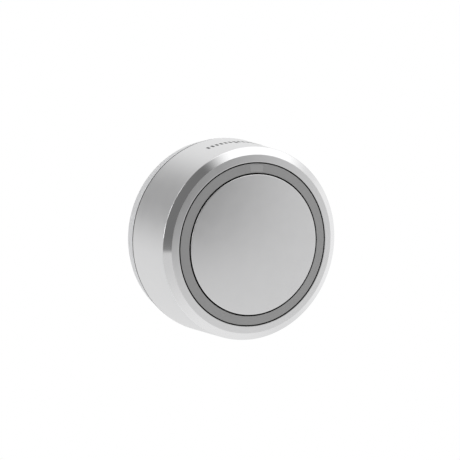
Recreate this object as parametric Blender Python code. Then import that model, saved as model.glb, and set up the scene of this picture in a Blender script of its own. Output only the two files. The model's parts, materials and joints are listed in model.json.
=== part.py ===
"""Surface-mounted push button: a large domed button inside a light ring, in a bevelled metal housing
that twists onto a wall plate. Two cells, a circuit board and a radio inside make it work without a cable.

Metres, +Z up. The wall is the plane Y = 0, and the button faces -Y. The pieces are drawn in the button's
own axes (X right, Y up, Z out of the wall), which the empty wall_axes turns into the world's.
Every Z below is a distance from the wall.
"""

import math

import bmesh
import bpy

# Button, light ring and housing, from the middle outwards
BUTTON_RADIUS = 0.0239
BUTTON_GROOVE = 0.0005
RING_WIDTH = 0.0031
RIM_GROOVE = 0.0004
RIM_WIDTH = 0.00253
BEVEL_WIDTH = 0.00257
BEVEL_DEPTH = 0.00175
SEAM_FLARE = 0.0009
SHELL_WALL = 0.0020
DOME_RADIUS = 0.160
RING_RECESS = 0.00015
CAP_WALL = 0.0012

# Carrier under the button cap, and the inner frame round it
CARRIER_WALL = 0.0012
CARRIER_CEILING = 0.0045  # from the top of the dome to the hollow under it
CARRIER_FLANGE = 0.0007  # how far the flange reaches behind the light ring
CARRIER_FLANGE_THICKNESS = 0.0013
SKIRT_DEPTH = 0.0001  # how far the cap's skirt reaches below the light ring's flange
FRAME_WALL = 0.0008
SPRING_SEAT_HEIGHT = 0.0012

# Depths, from the wall outwards
PLATE_FLOOR = 0.0024
PLATE_DEPTH = 0.0069
SEAM_GAP = 0.0003
BATTERY_CLEARANCE = 0.00095
CHASSIS_FLOOR = 0.0012
CHASSIS_WALL = 0.0012
CHASSIS_STEP = 0.0013  # how far the bayonet neck lies inside the chassis's outer wall
BOARD_LEDGE = 0.0016  # the wall whose top the board rests on
REAR_PART_ROOM = 0.0030
BOARD_THICKNESS = 0.0016
FRAME_FLOOR = 0.0010
BAY_HEIGHT = 0.0049
RING_FLANGE = 0.0015
LIP_THICKNESS = 0.00207

# Fits
SEAT = 0.0003  # gap between pieces that rest on each other
RUNNING = 0.0004  # gap round a piece that slides
OVERLAP = 0.0004  # how far shapes that are joined reach into each other

# Moving parts
BUTTON_TRAVEL = 0.0008
PAIRING_TRAVEL = 0.0003
UNLOCK_DEG = 20.0

# AAA cells, end to end along X
BATTERY_RADIUS = 0.00525
BATTERY_LENGTH = 0.0445
BATTERY_NUB_LENGTH = 0.0009
BATTERY_NUB_RADIUS = 0.0019
BATTERY_SHOULDER = 0.0005
BATTERY_GAP = 0.0008
CONTACT_THICKNESS = 0.0004
CONTACT_HALF_WIDTH = 0.0040
CONTACT_TAIL_WIDTH = 0.0024
CONTACT_SPRING_LENGTH = 0.0028
CONTACT_SPRING_RADIUS = 0.0022
CONTACT_SPRING_WIRE = 0.00025
BAY_WALL = 0.0010  # the battery bay's walls
BAY_WALL_REACH = 0.0031  # how far they reach behind the cells' axes
BAY_WALL_END = 0.0032  # how far the side walls stop short of the cells' ends

# Wall plate
PLATE_INSET = 0.00005  # how far the plate's edge stands inside the housing's
PLATE_DRAFT = 0.00125
PLATE_EDGE = 0.0005
SCREW_SLOT_WIDTH = 0.0040
SCREW_SLOT_LENGTH = 0.0080
SCREW_SLOT_OFFSET = 0.0200
HEAD_POCKET = 0.0035  # how much wider the pocket for the screw's head is than its slot
HEAD_POCKET_DEPTH = 0.0010
PAD_RECESS = 0.0008
PAD_SIZE = (0.0130, 0.0340)
PAD_OFFSET = 0.0170
PAD_CORNER = 0.0030

# Bayonet between the chassis and the wall plate
BAYONET_ANGLES = (30.0, 150.0, 270.0)
LUG_HALF_DEG = 8.0
LUG_REACH = 0.0016
LUG_THICKNESS = 0.0012
TAB_THICKNESS = 0.0012
STOP_GAP_DEG = 0.8
STOP_DEG = 3.0

# Fasteners and small parts
SCREW_ANGLES = (90.0, 210.0, 330.0)
SCREW_RADIUS = 0.0011
SCREW_HEAD_RADIUS = 0.0020
SCREW_HEAD_HEIGHT = 0.0014
SCREW_HEAD_EDGE = 0.0006  # the bevel round the head's top
SCREW_TIP = 0.0008
SCREW_TIP_GAP = 0.0009  # from the screw's tip to the bottom of its bore
RECESS_LENGTH = 0.0022
RECESS_WIDTH = 0.0005
RECESS_DEPTH = 0.0008
SCREW_BOSS_RADIUS = 0.0026
LED_ANGLES = (0.0, 60.0, 120.0, 180.0, 240.0, 300.0)
LED_SIZE = (0.0014, 0.0020, 0.0009)
LED_BODY_HEIGHT = 0.00055
LED_BORDER = 0.0003
RADIO_SIZE = (0.0105, 0.0085, 0.0018)
RADIO_CORNER = 0.0010
RADIO_PLACE = (-0.0120, 0.0165)
CONTROLLER_SIZE = (0.0050, 0.0050, 0.0009)
CONTROLLER_PLACE = (0.0030, 0.0165)
CRYSTAL_SIZE = (0.0050, 0.0024, 0.0012)
CRYSTAL_CORNER = 0.0011
CRYSTAL_PLACE = (0.0030, 0.0110)
CAPACITOR_RADIUS = 0.0022
CAPACITOR_HEIGHT = 0.0022
CAPACITOR_PLACE = (-0.0085, -0.0180)
ANTENNA_RADIUS = 0.0009
ANTENNA_WIRE = 0.00022
ANTENNA_LENGTH = 0.0085
ANTENNA_TURNS = 5
ANTENNA_PLACE = (0.0090, 0.0175)
SWITCH_SIDE = 0.0060
SWITCH_HEIGHT = 0.0032
PLUNGER_RADIUS = 0.0017
PLUNGER_ENGAGEMENT = 0.0006  # how much of the plunger is inside the switch at rest
PLUNGER_RESERVE = 0.0001  # how much of it still stands out of the switch when it is pressed
STEM_RADIUS = 0.0026
SPRING_RADIUS = 0.0070
SPRING_WIRE = 0.00035
SPRING_TURNS = 4
PAIRING_X, PAIRING_Y = 0.0090, -0.0195
PAIRING_RADIUS = 0.0019
PAIRING_FLANGE = 0.0010
PAIRING_FLANGE_THICKNESS = 0.0005
PAIRING_PROUD = 0.0010  # how far it stands out of the chassis floor
PAIRING_SWITCH_SIDE = 0.0040
PAIRING_SWITCH_HEIGHT = 0.0012
PAIRING_PLUNGER_RADIUS = 0.0009
SNAP_ANGLES = (0.0, 120.0, 240.0)
SNAP_HALF_DEG = 4.0
SNAP_SIDE_DEG = 1.0
SNAP_REACH = 0.0005
SNAP_HALF_HEIGHT = 0.0007
SEAL_RADIUS = 0.00045
SEAL_GROOVE = 0.0010
SEAL_OFFSET = 0.0015  # from the wall plate's front edge to the rear seal's groove

OUTER_SEGMENTS = 64
INNER_SEGMENTS = 44
SMALL_SEGMENTS = 20

# Radii that follow
RING_INNER = BUTTON_RADIUS + BUTTON_GROOVE
RING_OUTER = RING_INNER + RING_WIDTH
RIM_INNER = RING_OUTER + RIM_GROOVE
RIM_OUTER = RIM_INNER + RIM_WIDTH
FRONT_RADIUS = RIM_OUTER + BEVEL_WIDTH
SEAM_RADIUS = FRONT_RADIUS + SEAM_FLARE
PLATE_RADIUS = SEAM_RADIUS - PLATE_INSET
SHELL_INNER_FRONT = FRONT_RADIUS - SHELL_WALL
SHELL_INNER_BACK = SEAM_RADIUS - SHELL_WALL
FRAME_OUTER = SHELL_INNER_FRONT - RUNNING
FLANGE_RADIUS = RING_INNER + CARRIER_FLANGE
BAY_RADIUS = FLANGE_RADIUS + RUNNING
GUIDE_INNER = BAY_RADIUS + FRAME_WALL + SEAT
GUIDE_OUTER = FRAME_OUTER - FRAME_WALL - SEAT
LED_RING_RADIUS = (GUIDE_INNER + GUIDE_OUTER) / 2
LED_WINDOW_RADIUS = math.hypot(LED_SIZE[0], LED_SIZE[1]) / 2 + SEAT

# Battery bay
BATTERY_SPACING = 2 * BATTERY_RADIUS + BATTERY_GAP
BATTERY_Y = BATTERY_SPACING / 2
CONTACT_X = (BATTERY_LENGTH + CONTACT_SPRING_LENGTH + 3 * SEAT) / 2  # the contacts' inner faces

# Depths that follow
BATTERY_Z = PLATE_FLOOR + BATTERY_CLEARANCE + BATTERY_RADIUS
CHASSIS_FLOOR_BACK = BATTERY_Z + BATTERY_RADIUS + SEAT
CHASSIS_FLOOR_FRONT = CHASSIS_FLOOR_BACK + CHASSIS_FLOOR
BOARD_BACK = CHASSIS_FLOOR_FRONT + REAR_PART_ROOM
BOARD_FRONT = BOARD_BACK + BOARD_THICKNESS
FRAME_BACK = BOARD_FRONT + RUNNING
FRAME_FLOOR_FRONT = FRAME_BACK + FRAME_FLOOR
FRAME_TOP = FRAME_FLOOR_FRONT + BAY_HEIGHT
RING_BACK = FRAME_TOP + SEAT
RING_FLANGE_FRONT = RING_BACK + RING_FLANGE
LIP_BACK = RING_FLANGE_FRONT + SEAT
SEAM_Z = PLATE_DEPTH + SEAM_GAP
SWITCH_FRONT = BOARD_FRONT + SEAT + SWITCH_HEIGHT
PLUNGER_FRONT = SWITCH_FRONT + BUTTON_TRAVEL + PLUNGER_RESERVE
PAIRING_SWITCH_BACK = BOARD_BACK - SEAT - PAIRING_SWITCH_HEIGHT
CHASSIS_TOP = BOARD_BACK - SEAT

# The chassis fits the drafted shell where the shell is narrowest around it
SHELL_INNER_AT_CHASSIS = SHELL_INNER_BACK - SEAM_FLARE * (CHASSIS_TOP - SEAM_Z) / (RING_BACK - SEAM_Z)
CHASSIS_RADIUS = SHELL_INNER_AT_CHASSIS - SEAT
CHASSIS_INNER = CHASSIS_RADIUS - CHASSIS_STEP - CHASSIS_WALL
CHASSIS_NECK = CHASSIS_RADIUS - CHASSIS_STEP
SCREW_CIRCLE = min(CHASSIS_INNER - SCREW_HEAD_RADIUS, CHASSIS_RADIUS - BOARD_LEDGE - SCREW_BOSS_RADIUS) - SEAT


def dome_fall(radius):
    """How far the domed front lies below its middle at this radius."""
    return DOME_RADIUS - math.sqrt(DOME_RADIUS**2 - radius**2)


DOME_TOP = LIP_BACK + LIP_THICKNESS + dome_fall(RIM_INNER)
BEVEL_Z = DOME_TOP - dome_fall(RIM_OUTER) - BEVEL_DEPTH


def dome(r_from, r_to, steps, drop=0.0):
    """Points along the domed front, a distance drop behind it."""
    radii = [r_from + (r_to - r_from) * i / steps for i in range(steps + 1)]
    return [(r, DOME_TOP - dome_fall(r) - drop) for r in radii]


# Shapes, each as a bmesh


def turned(profile, segments):
    """A solid turned about Z from (radius, z) points. A profile with both ends on the axis stays open there."""
    bm = bmesh.new()
    verts = [bm.verts.new((r, 0.0, z)) for r, z in profile]
    pairs = list(zip(verts, verts[1:]))
    if profile[0][0] > 0 or profile[-1][0] > 0:
        pairs.append((verts[-1], verts[0]))
    edges = [bm.edges.new(pair) for pair in pairs]
    bmesh.ops.spin(
        bm, geom=verts + edges, axis=(0, 0, 1), cent=(0, 0, 0), angle=math.tau, steps=segments, use_merge=True
    )
    bmesh.ops.remove_doubles(bm, verts=bm.verts, dist=1e-6)
    return bm


def prism(outline, z_from, z_to):
    """An outline of (x, y) points, drawn out from z_from to z_to."""
    bm = bmesh.new()
    face = bm.faces.new([bm.verts.new((x, y, z_from)) for x, y in outline])
    drawn = bmesh.ops.extrude_face_region(bm, geom=[face])["geom"]
    top = [v for v in drawn if isinstance(v, bmesh.types.BMVert)]
    bmesh.ops.translate(bm, verts=top, vec=(0, 0, z_to - z_from))
    return bm


def arc(radius, from_deg, to_deg, steps, centre=(0.0, 0.0)):
    """Points on a circle's arc."""
    angles = [math.radians(from_deg + (to_deg - from_deg) * i / steps) for i in range(steps + 1)]
    return [(centre[0] + radius * math.cos(a), centre[1] + radius * math.sin(a)) for a in angles]


def sector(r_in, r_out, from_deg, to_deg, z_from, z_to):
    """A piece of a flat ring."""
    steps = max(1, round((to_deg - from_deg) / 5))
    outline = arc(r_out, from_deg, to_deg, steps) + arc(r_in, to_deg, from_deg, steps)
    return prism(outline, z_from, z_to)


def rounded_rectangle(width, height, corner, centre=(0.0, 0.0), steps=4):
    """Corner points of a rectangle with round corners."""
    x, y = width / 2 - corner, height / 2 - corner
    outline = []
    for turn, (sx, sy) in enumerate(((1, 1), (-1, 1), (-1, -1), (1, -1))):
        middle = (centre[0] + sx * x, centre[1] + sy * y)
        outline += arc(corner, 90.0 * turn, 90.0 * (turn + 1), steps, middle)
    return [p for i, p in enumerate(outline) if math.dist(p, outline[i - 1]) > 1e-6]


def block(x_from, x_to, y_from, y_to, z_from, z_to):
    """A plain box."""
    return prism([(x_from, y_from), (x_to, y_from), (x_to, y_to), (x_from, y_to)], z_from, z_to)


def disc(radius, z_from, z_to, centre=(0.0, 0.0), segments=SMALL_SEGMENTS):
    """A plain cylinder along Z. No corner lies along X or Y, where a turned piece that it cuts has its edges."""
    half_step = 180.0 / segments
    return prism(arc(radius, half_step, 360.0 + half_step, segments, centre)[:-1], z_from, z_to)


def polar(radius, degrees):
    """The (x, y) point at this radius and angle."""
    return radius * math.cos(math.radians(degrees)), radius * math.sin(math.radians(degrees))


# Objects


def empty(name, parent=None, location=(0.0, 0.0, 0.0)):
    """An empty that its pieces hang on."""
    made = bpy.data.objects.new(name, None)
    made.parent = parent
    made.location = location
    bpy.context.scene.collection.objects.link(made)
    return made


def mesh_object(name, bm, parent):
    """An object from a bmesh, with its faces pointing out."""
    bmesh.ops.recalc_face_normals(bm, faces=bm.faces)
    mesh = bpy.data.meshes.new(name)
    bm.to_mesh(mesh)
    bm.free()
    made = bpy.data.objects.new(name, mesh)
    made.parent = parent
    bpy.context.scene.collection.objects.link(made)
    return made


def piece(name, bm, material, parent):
    """One sub-part."""
    made = mesh_object(name, bm, parent)
    made.data.materials.append(material)
    made.data.shade_smooth()
    made.data.set_sharp_from_angle(angle=math.radians(30))
    return made


def combine(target, bm, operation):
    """Adds a helper shape to the target, or cuts it away, with a Boolean modifier."""
    count = len(target.modifiers) + 1
    helper = mesh_object(f"{target.name}_helper_{count}", bm, target.parent)
    helper.hide_render = True
    helper.display_type = "WIRE"
    modifier = target.modifiers.new(f"{operation.lower()}_{count}", "BOOLEAN")
    modifier.operation = operation
    modifier.solver = "EXACT"
    modifier.object = helper


def cut(target, bm):
    """Cuts the shape out of the target."""
    combine(target, bm, "DIFFERENCE")


def add(target, bm):
    """Joins the shape to the target."""
    combine(target, bm, "UNION")


def coil(name, radius, wire, length, turns, material, parent, location, rotation=(0.0, 0.0, 0.0)):
    """A round wire wound about Z, its ends on the coil's own end planes."""
    per_turn = 12
    rise = length - 2 * wire
    count = turns * per_turn
    curve = bpy.data.curves.new(name, "CURVE")
    curve.dimensions = "3D"
    curve.bevel_depth = wire
    curve.bevel_resolution = 1
    curve.use_fill_caps = True
    spline = curve.splines.new("POLY")
    spline.points.add(count)
    for i, point in enumerate(spline.points):
        angle = math.tau * i / per_turn
        point.co = (radius * math.cos(angle), radius * math.sin(angle), wire + rise * i / count, 1.0)
    curve.materials.append(material)
    made = bpy.data.objects.new(name, curve)
    made.parent = parent
    made.location = location
    made.rotation_euler = rotation
    bpy.context.scene.collection.objects.link(made)
    return made


def new_material(name, colour, roughness, metallic=0.0, alpha=1.0):
    """A plain Principled material."""
    made = bpy.data.materials.new(name)
    made.use_nodes = True
    shader = made.node_tree.nodes["Principled BSDF"]
    shader.inputs["Base Color"].default_value = (*colour, 1.0)
    shader.inputs["Roughness"].default_value = roughness
    shader.inputs["Metallic"].default_value = metallic
    shader.inputs["Alpha"].default_value = alpha
    return made


def make_materials():
    return {
        "satin_metal": new_material("satin_metal", (0.72, 0.72, 0.73), 0.28, 1.0),
        "smoked_plastic": new_material("smoked_plastic", (0.26, 0.26, 0.26), 0.35),
        "plate_plastic": new_material("plate_plastic", (0.62, 0.63, 0.65), 0.45),
        "white_plastic": new_material("white_plastic", (0.85, 0.85, 0.83), 0.40),
        "black_plastic": new_material("black_plastic", (0.03, 0.03, 0.03), 0.50),
        "clear_plastic": new_material("clear_plastic", (0.90, 0.92, 0.93), 0.15),
        "board": new_material("board", (0.02, 0.14, 0.06), 0.40),
        "rubber": new_material("rubber", (0.04, 0.04, 0.04), 0.70),
        "foam": new_material("foam", (0.80, 0.80, 0.78), 0.90),
        "steel": new_material("steel", (0.60, 0.60, 0.60), 0.30, 1.0),
        "copper": new_material("copper", (0.72, 0.38, 0.22), 0.35, 1.0),
        "cell_jacket": new_material("cell_jacket", (0.09, 0.10, 0.12), 0.35, 0.3),
    }


# Front: housing, light ring and seals


def make_front_housing(mats, parent):
    """The turned metal shell: drafted side, bevel, domed rim, lip over the light ring, snap pockets inside."""
    rim = dome(RIM_OUTER, RIM_INNER, 2)
    profile = [(SEAM_RADIUS, SEAM_Z), (FRONT_RADIUS, BEVEL_Z), *rim]
    profile += [(RIM_INNER, LIP_BACK), (SHELL_INNER_FRONT, LIP_BACK), (SHELL_INNER_FRONT, RING_BACK)]
    profile += [(SHELL_INNER_BACK, SEAM_Z)]
    housing = piece("front_housing", turned(profile, OUTER_SEGMENTS), mats["satin_metal"], parent)
    half = SNAP_HALF_DEG + SNAP_SIDE_DEG
    inner, outer = SHELL_INNER_FRONT - 2 * OVERLAP, SHELL_INNER_FRONT + SNAP_REACH + RUNNING
    for angle in SNAP_ANGLES:
        cut(housing, sector(inner, outer, angle - half, angle + half, *snap_depths(SEAT)))


def snap_depths(gap):
    """The Z span of the frame's snap hooks, widened by gap."""
    middle = (FRAME_FLOOR_FRONT + FRAME_TOP) / 2
    return middle - SNAP_HALF_HEIGHT - gap, middle + SNAP_HALF_HEIGHT + gap


def seal_ring(name, centre_radius, z, mats, parent):
    """A rubber ring of round section."""
    section = [(centre_radius + x, z + y) for x, y in arc(SEAL_RADIUS, 0.0, 360.0, 6)[:-1]]
    piece(name, turned(section, INNER_SEGMENTS), mats["rubber"], parent)


def make_light_ring(mats, parent):
    """The smoked ring that glows, with a flange that the housing's lip holds."""
    flange = SHELL_INNER_FRONT - 2 * SEAL_RADIUS - 2 * SEAT
    profile = [(RING_INNER, RING_BACK), (flange, RING_BACK), (flange, RING_FLANGE_FRONT)]
    profile += [(RING_OUTER, RING_FLANGE_FRONT), *dome(RING_OUTER, RING_INNER, 2, RING_RECESS)]
    piece("light_ring", turned(profile, OUTER_SEGMENTS), mats["smoked_plastic"], parent)
    seal_z = RING_BACK + RING_FLANGE / 2
    seal_ring("front_seal", (flange + SHELL_INNER_FRONT) / 2, seal_z, mats, parent)


def make_light_guide(mats, parent):
    """The clear ring between the LEDs and the light ring."""
    back = FRAME_FLOOR_FRONT + SEAT
    profile = [(GUIDE_INNER, back), (GUIDE_OUTER, back), (GUIDE_OUTER, FRAME_TOP), (GUIDE_INNER, FRAME_TOP)]
    piece("light_guide", turned(profile, INNER_SEGMENTS), mats["clear_plastic"], parent)


def make_inner_frame(mats, parent):
    """The white frame: a trough for the light guide, the button's bay, the spring's seat, screw bosses below."""
    switch_hole = SWITCH_SIDE * 0.5 * math.sqrt(2) + SEAT
    seat_outer = SPRING_RADIUS - SPRING_WIRE - RUNNING
    seat_top = FRAME_FLOOR_FRONT + SPRING_SEAT_HEIGHT
    profile = [(switch_hole, FRAME_BACK), (FRAME_OUTER, FRAME_BACK), (FRAME_OUTER, FRAME_TOP)]
    profile += [(FRAME_OUTER - FRAME_WALL, FRAME_TOP), (FRAME_OUTER - FRAME_WALL, FRAME_FLOOR_FRONT)]
    profile += [(BAY_RADIUS + FRAME_WALL, FRAME_FLOOR_FRONT), (BAY_RADIUS + FRAME_WALL, FRAME_TOP)]
    profile += [(BAY_RADIUS, FRAME_TOP), (BAY_RADIUS, FRAME_FLOOR_FRONT), (seat_outer, FRAME_FLOOR_FRONT)]
    profile += [(seat_outer, seat_top), (switch_hole, seat_top)]
    frame = piece("inner_frame", turned(profile, INNER_SEGMENTS), mats["white_plastic"], parent)
    for angle in SNAP_ANGLES:
        span = (angle - SNAP_HALF_DEG, angle + SNAP_HALF_DEG)
        add(frame, sector(FRAME_OUTER - OVERLAP, SHELL_INNER_FRONT + SNAP_REACH, *span, *snap_depths(0.0)))
    boss_back = CHASSIS_FLOOR_FRONT + SEAT
    for angle in SCREW_ANGLES:
        centre = polar(SCREW_CIRCLE, angle)
        add(frame, disc(SCREW_BOSS_RADIUS, boss_back, FRAME_BACK + OVERLAP, centre))
        cut(frame, disc(SCREW_RADIUS + SEAT, boss_back - OVERLAP, FRAME_BACK + OVERLAP / 2, centre))
    for angle in LED_ANGLES:
        centre = polar(LED_RING_RADIUS, angle)
        cut(frame, disc(LED_WINDOW_RADIUS, FRAME_BACK - OVERLAP, FRAME_FLOOR_FRONT + OVERLAP / 2, centre))


# Circuit board and what is on it


def make_board(mats, parent):
    """The round circuit board, clamped between the chassis and the frame."""
    board = piece("circuit_board", disc(FRAME_OUTER, BOARD_BACK, BOARD_FRONT, segments=INNER_SEGMENTS),
                  mats["board"], parent)
    below, above = BOARD_BACK - OVERLAP, BOARD_FRONT + OVERLAP
    for angle in SCREW_ANGLES:
        cut(board, disc(SCREW_BOSS_RADIUS + RUNNING, below, above, polar(SCREW_CIRCLE, angle)))
    for side in (1, -1):
        cut(board, tail_slot(side, below, above))


def tail_slot(side, z_from, z_to):
    """The slot for the tail of the contact at the upper (1) or lower (-1) cell."""
    x = CONTACT_X + CONTACT_THICKNESS / 2
    y = side * BATTERY_Y
    half_x, half_y = CONTACT_THICKNESS / 2 + SEAT, CONTACT_TAIL_WIDTH / 2 + SEAT
    return block(x - half_x, x + half_x, y - half_y, y + half_y, z_from, z_to)


def make_leds(mats, parent):
    """Six LEDs under the light guide, each with a raised lens."""
    radial, around, height = LED_SIZE
    back = BOARD_FRONT + SEAT
    for number, angle in enumerate(LED_ANGLES, 1):
        holder = empty(f"led_{number}_place", parent, (*polar(LED_RING_RADIUS, angle), 0.0))
        holder.rotation_euler = (0.0, 0.0, math.radians(angle))
        body = block(-radial / 2, radial / 2, -around / 2, around / 2, back, back + LED_BODY_HEIGHT)
        top = max(body.faces, key=lambda f: f.calc_center_median().z)
        bmesh.ops.inset_region(body, faces=[top], thickness=LED_BORDER)
        lens = bmesh.ops.extrude_face_region(body, geom=[top])["geom"]
        corners = [v for v in lens if isinstance(v, bmesh.types.BMVert)]
        bmesh.ops.delete(body, geom=[top], context="FACES_ONLY")
        bmesh.ops.translate(body, verts=corners, vec=(0, 0, height - LED_BODY_HEIGHT))
        piece(f"led_{number}", body, mats["white_plastic"], holder)


def make_main_switch(mats, parent, plunger_parent):
    """The tactile switch under the button's stem, and the plunger that slides in it."""
    half = SWITCH_SIDE / 2
    body = block(-half, half, -half, half, BOARD_FRONT + SEAT, SWITCH_FRONT)
    switch = piece("tactile_switch", body, mats["black_plastic"], parent)
    plunger_back = SWITCH_FRONT - PLUNGER_ENGAGEMENT
    bore_end = plunger_back - BUTTON_TRAVEL - SEAT
    cut(switch, disc(PLUNGER_RADIUS + SEAT, bore_end, SWITCH_FRONT + OVERLAP))
    piece("switch_plunger", disc(PLUNGER_RADIUS, plunger_back, PLUNGER_FRONT), mats["white_plastic"], plunger_parent)


def make_rear_parts(mats, parent):
    """What stands on the back of the board: radio, controller, crystal, capacitor and antenna."""
    front = BOARD_BACK - SEAT
    width, height, thickness = RADIO_SIZE
    radio = rounded_rectangle(width, height, RADIO_CORNER, RADIO_PLACE)
    piece("radio_module", prism(radio, front - thickness, front), mats["steel"], parent)
    width, height, thickness = CONTROLLER_SIZE
    x, y = CONTROLLER_PLACE
    controller = block(x - width / 2, x + width / 2, y - height / 2, y + height / 2, front - thickness, front)
    piece("microcontroller", controller, mats["black_plastic"], parent)
    width, height, thickness = CRYSTAL_SIZE
    crystal = rounded_rectangle(width, height, CRYSTAL_CORNER, CRYSTAL_PLACE)
    piece("crystal", prism(crystal, front - thickness, front), mats["steel"], parent)
    capacitor = disc(CAPACITOR_RADIUS, front - CAPACITOR_HEIGHT, front, CAPACITOR_PLACE)
    piece("capacitor", capacitor, mats["cell_jacket"], parent)
    place = (*ANTENNA_PLACE, front - ANTENNA_RADIUS - ANTENNA_WIRE)
    coil("antenna_coil", ANTENNA_RADIUS, ANTENNA_WIRE, ANTENNA_LENGTH, ANTENNA_TURNS, mats["copper"], parent,
         place, (0.0, math.pi / 2, 0.0))


def make_pairing_switch(mats, parent):
    """The small pairing switch on the back of the board, bored for its plunger."""
    front = BOARD_BACK - SEAT
    half = PAIRING_SWITCH_SIDE / 2
    body = block(PAIRING_X - half, PAIRING_X + half, PAIRING_Y - half, PAIRING_Y + half, PAIRING_SWITCH_BACK, front)
    switch = piece("pairing_switch", body, mats["black_plastic"], parent)
    bore_radius, bore_back = PAIRING_PLUNGER_RADIUS + SEAT, PAIRING_SWITCH_BACK - OVERLAP
    cut(switch, disc(bore_radius, bore_back, front - SEAT, (PAIRING_X, PAIRING_Y)))


# Chassis and battery


def make_chassis(mats, parent):
    """The black rear body: bayonet neck, seal groove, battery bay, and the wall that the board rests on."""
    neck_back = PLATE_FLOOR + BATTERY_CLEARANCE
    neck_front = PLATE_DEPTH + SEAM_GAP + OVERLAP / 2
    groove_back, groove_front, groove_radius = seal_groove()
    profile = [(CHASSIS_INNER, neck_back), (CHASSIS_NECK, neck_back), (CHASSIS_NECK, neck_front)]
    profile += [(CHASSIS_RADIUS, neck_front), (CHASSIS_RADIUS, groove_back), (groove_radius, groove_back)]
    profile += [(groove_radius, groove_front), (CHASSIS_RADIUS, groove_front), (CHASSIS_RADIUS, CHASSIS_TOP)]
    profile += [(CHASSIS_RADIUS - BOARD_LEDGE, CHASSIS_TOP), (CHASSIS_RADIUS - BOARD_LEDGE, CHASSIS_FLOOR_FRONT)]
    outline = [(0.0, CHASSIS_FLOOR_BACK), (CHASSIS_INNER, CHASSIS_FLOOR_BACK), *profile, (0.0, CHASSIS_FLOOR_FRONT)]
    chassis = piece("rear_chassis", turned(outline, INNER_SEGMENTS), mats["black_plastic"], parent)
    lug_back, lug_front = lug_depths()
    for angle in BAYONET_ANGLES:
        add(chassis, sector(CHASSIS_NECK - OVERLAP, CHASSIS_NECK + LUG_REACH, angle - LUG_HALF_DEG,
                            angle + LUG_HALF_DEG, lug_back, lug_front))
    wall_back, wall_front = BATTERY_Z - BAY_WALL_REACH, CHASSIS_FLOOR_BACK + OVERLAP
    side_x = BATTERY_LENGTH / 2 - BAY_WALL_END
    side_y = BATTERY_Y + BATTERY_RADIUS + SEAT
    end_x = CONTACT_X + CONTACT_THICKNESS + SEAT
    end_y = BATTERY_Y + CONTACT_HALF_WIDTH
    for side in (1, -1):
        y_near, y_far = sorted((side * side_y, side * (side_y + BAY_WALL)))
        add(chassis, block(-side_x, side_x, y_near, y_far, wall_back, wall_front))
        x_near, x_far = sorted((side * end_x, side * (end_x + BAY_WALL)))
        add(chassis, block(x_near, x_far, -end_y, end_y, wall_back, wall_front))
    below, above = CHASSIS_FLOOR_BACK - OVERLAP, CHASSIS_FLOOR_FRONT + OVERLAP
    for angle in SCREW_ANGLES:
        cut(chassis, disc(SCREW_RADIUS + SEAT, below, above, polar(SCREW_CIRCLE, angle)))
    cut(chassis, disc(PAIRING_RADIUS + SEAT, below, above, (PAIRING_X, PAIRING_Y)))
    for side in (1, -1):
        cut(chassis, tail_slot(side, below, above))


def seal_groove():
    """(back, front, bottom radius) of the groove for the rear seal."""
    back = PLATE_DEPTH + SEAL_OFFSET
    return back, back + 2 * SEAL_RADIUS + 2 * SEAT, CHASSIS_RADIUS - SEAL_GROOVE


def make_rear_seal(mats, parent):
    back, front, bottom = seal_groove()
    seal_ring("rear_seal", bottom + SEAT + SEAL_RADIUS, (back + front) / 2, mats, parent)


def make_chassis_screws(mats, parent):
    """Three screws with cross recesses, through the chassis into the frame's bosses."""
    head_front = CHASSIS_FLOOR_BACK - SEAT
    head_back = head_front - SCREW_HEAD_HEIGHT
    tip = FRAME_BACK - SCREW_TIP_GAP
    profile = [(0.0, head_back), (SCREW_HEAD_RADIUS - SCREW_HEAD_EDGE, head_back)]
    profile += [(SCREW_HEAD_RADIUS, head_back + SCREW_HEAD_EDGE), (SCREW_HEAD_RADIUS, head_front)]
    profile += [(SCREW_RADIUS, head_front), (SCREW_RADIUS, tip - SCREW_TIP), (SCREW_RADIUS / 2, tip), (0.0, tip)]
    long, short = RECESS_LENGTH / 2, RECESS_WIDTH / 2
    for number, angle in enumerate(SCREW_ANGLES, 1):
        x, y = polar(SCREW_CIRCLE, angle)
        place = empty(f"chassis_screw_{number}_place", parent, (x, y, 0.0))
        screw = piece(f"chassis_screw_{number}", turned(profile, 16), mats["steel"], place)
        for half_x, half_y in ((long, short), (short, long)):
            cut(screw, block(-half_x, half_x, -half_y, half_y, head_back - OVERLAP, head_back + RECESS_DEPTH))


def make_batteries(mats, parent):
    """Two AAA cells side by side, nubs at opposite ends, with their contacts and contact springs."""
    body = BATTERY_LENGTH - BATTERY_NUB_LENGTH
    shoulder = BATTERY_RADIUS - BATTERY_SHOULDER
    profile = [(0.0, 0.0), (shoulder, 0.0), (BATTERY_RADIUS, BATTERY_SHOULDER)]
    profile += [(BATTERY_RADIUS, body - BATTERY_SHOULDER)]
    profile += [(shoulder, body), (BATTERY_NUB_RADIUS, body), (BATTERY_NUB_RADIUS, BATTERY_LENGTH)]
    profile += [(0.0, BATTERY_LENGTH)]
    nub_end = CONTACT_X - SEAT
    for number, side in ((1, 1), (2, -1)):
        cell = piece(f"battery_{number}", turned(profile, SMALL_SEGMENTS), mats["cell_jacket"], parent)
        cell.location = (side * (nub_end - BATTERY_LENGTH), side * BATTERY_Y, BATTERY_Z)
        cell.rotation_euler = (0.0, side * math.pi / 2, 0.0)


def contact_outline(y_from, y_to, tail_side):
    """A contact plate as (z, y) points, with a tail up to the board at the cell that tail_side names."""
    z_back, z_front = BATTERY_Z - CONTACT_HALF_WIDTH, BATTERY_Z + CONTACT_HALF_WIDTH
    outline = [(z_back, y_from), (z_back, y_to), (z_front, y_to)]
    if tail_side:
        middle = tail_side * BATTERY_Y
        tail = BOARD_FRONT - OVERLAP
        edge = CONTACT_TAIL_WIDTH / 2
        outline += [(z_front, middle + edge), (tail, middle + edge), (tail, middle - edge), (z_front, middle - edge)]
    return outline + [(z_front, y_from)]


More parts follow.
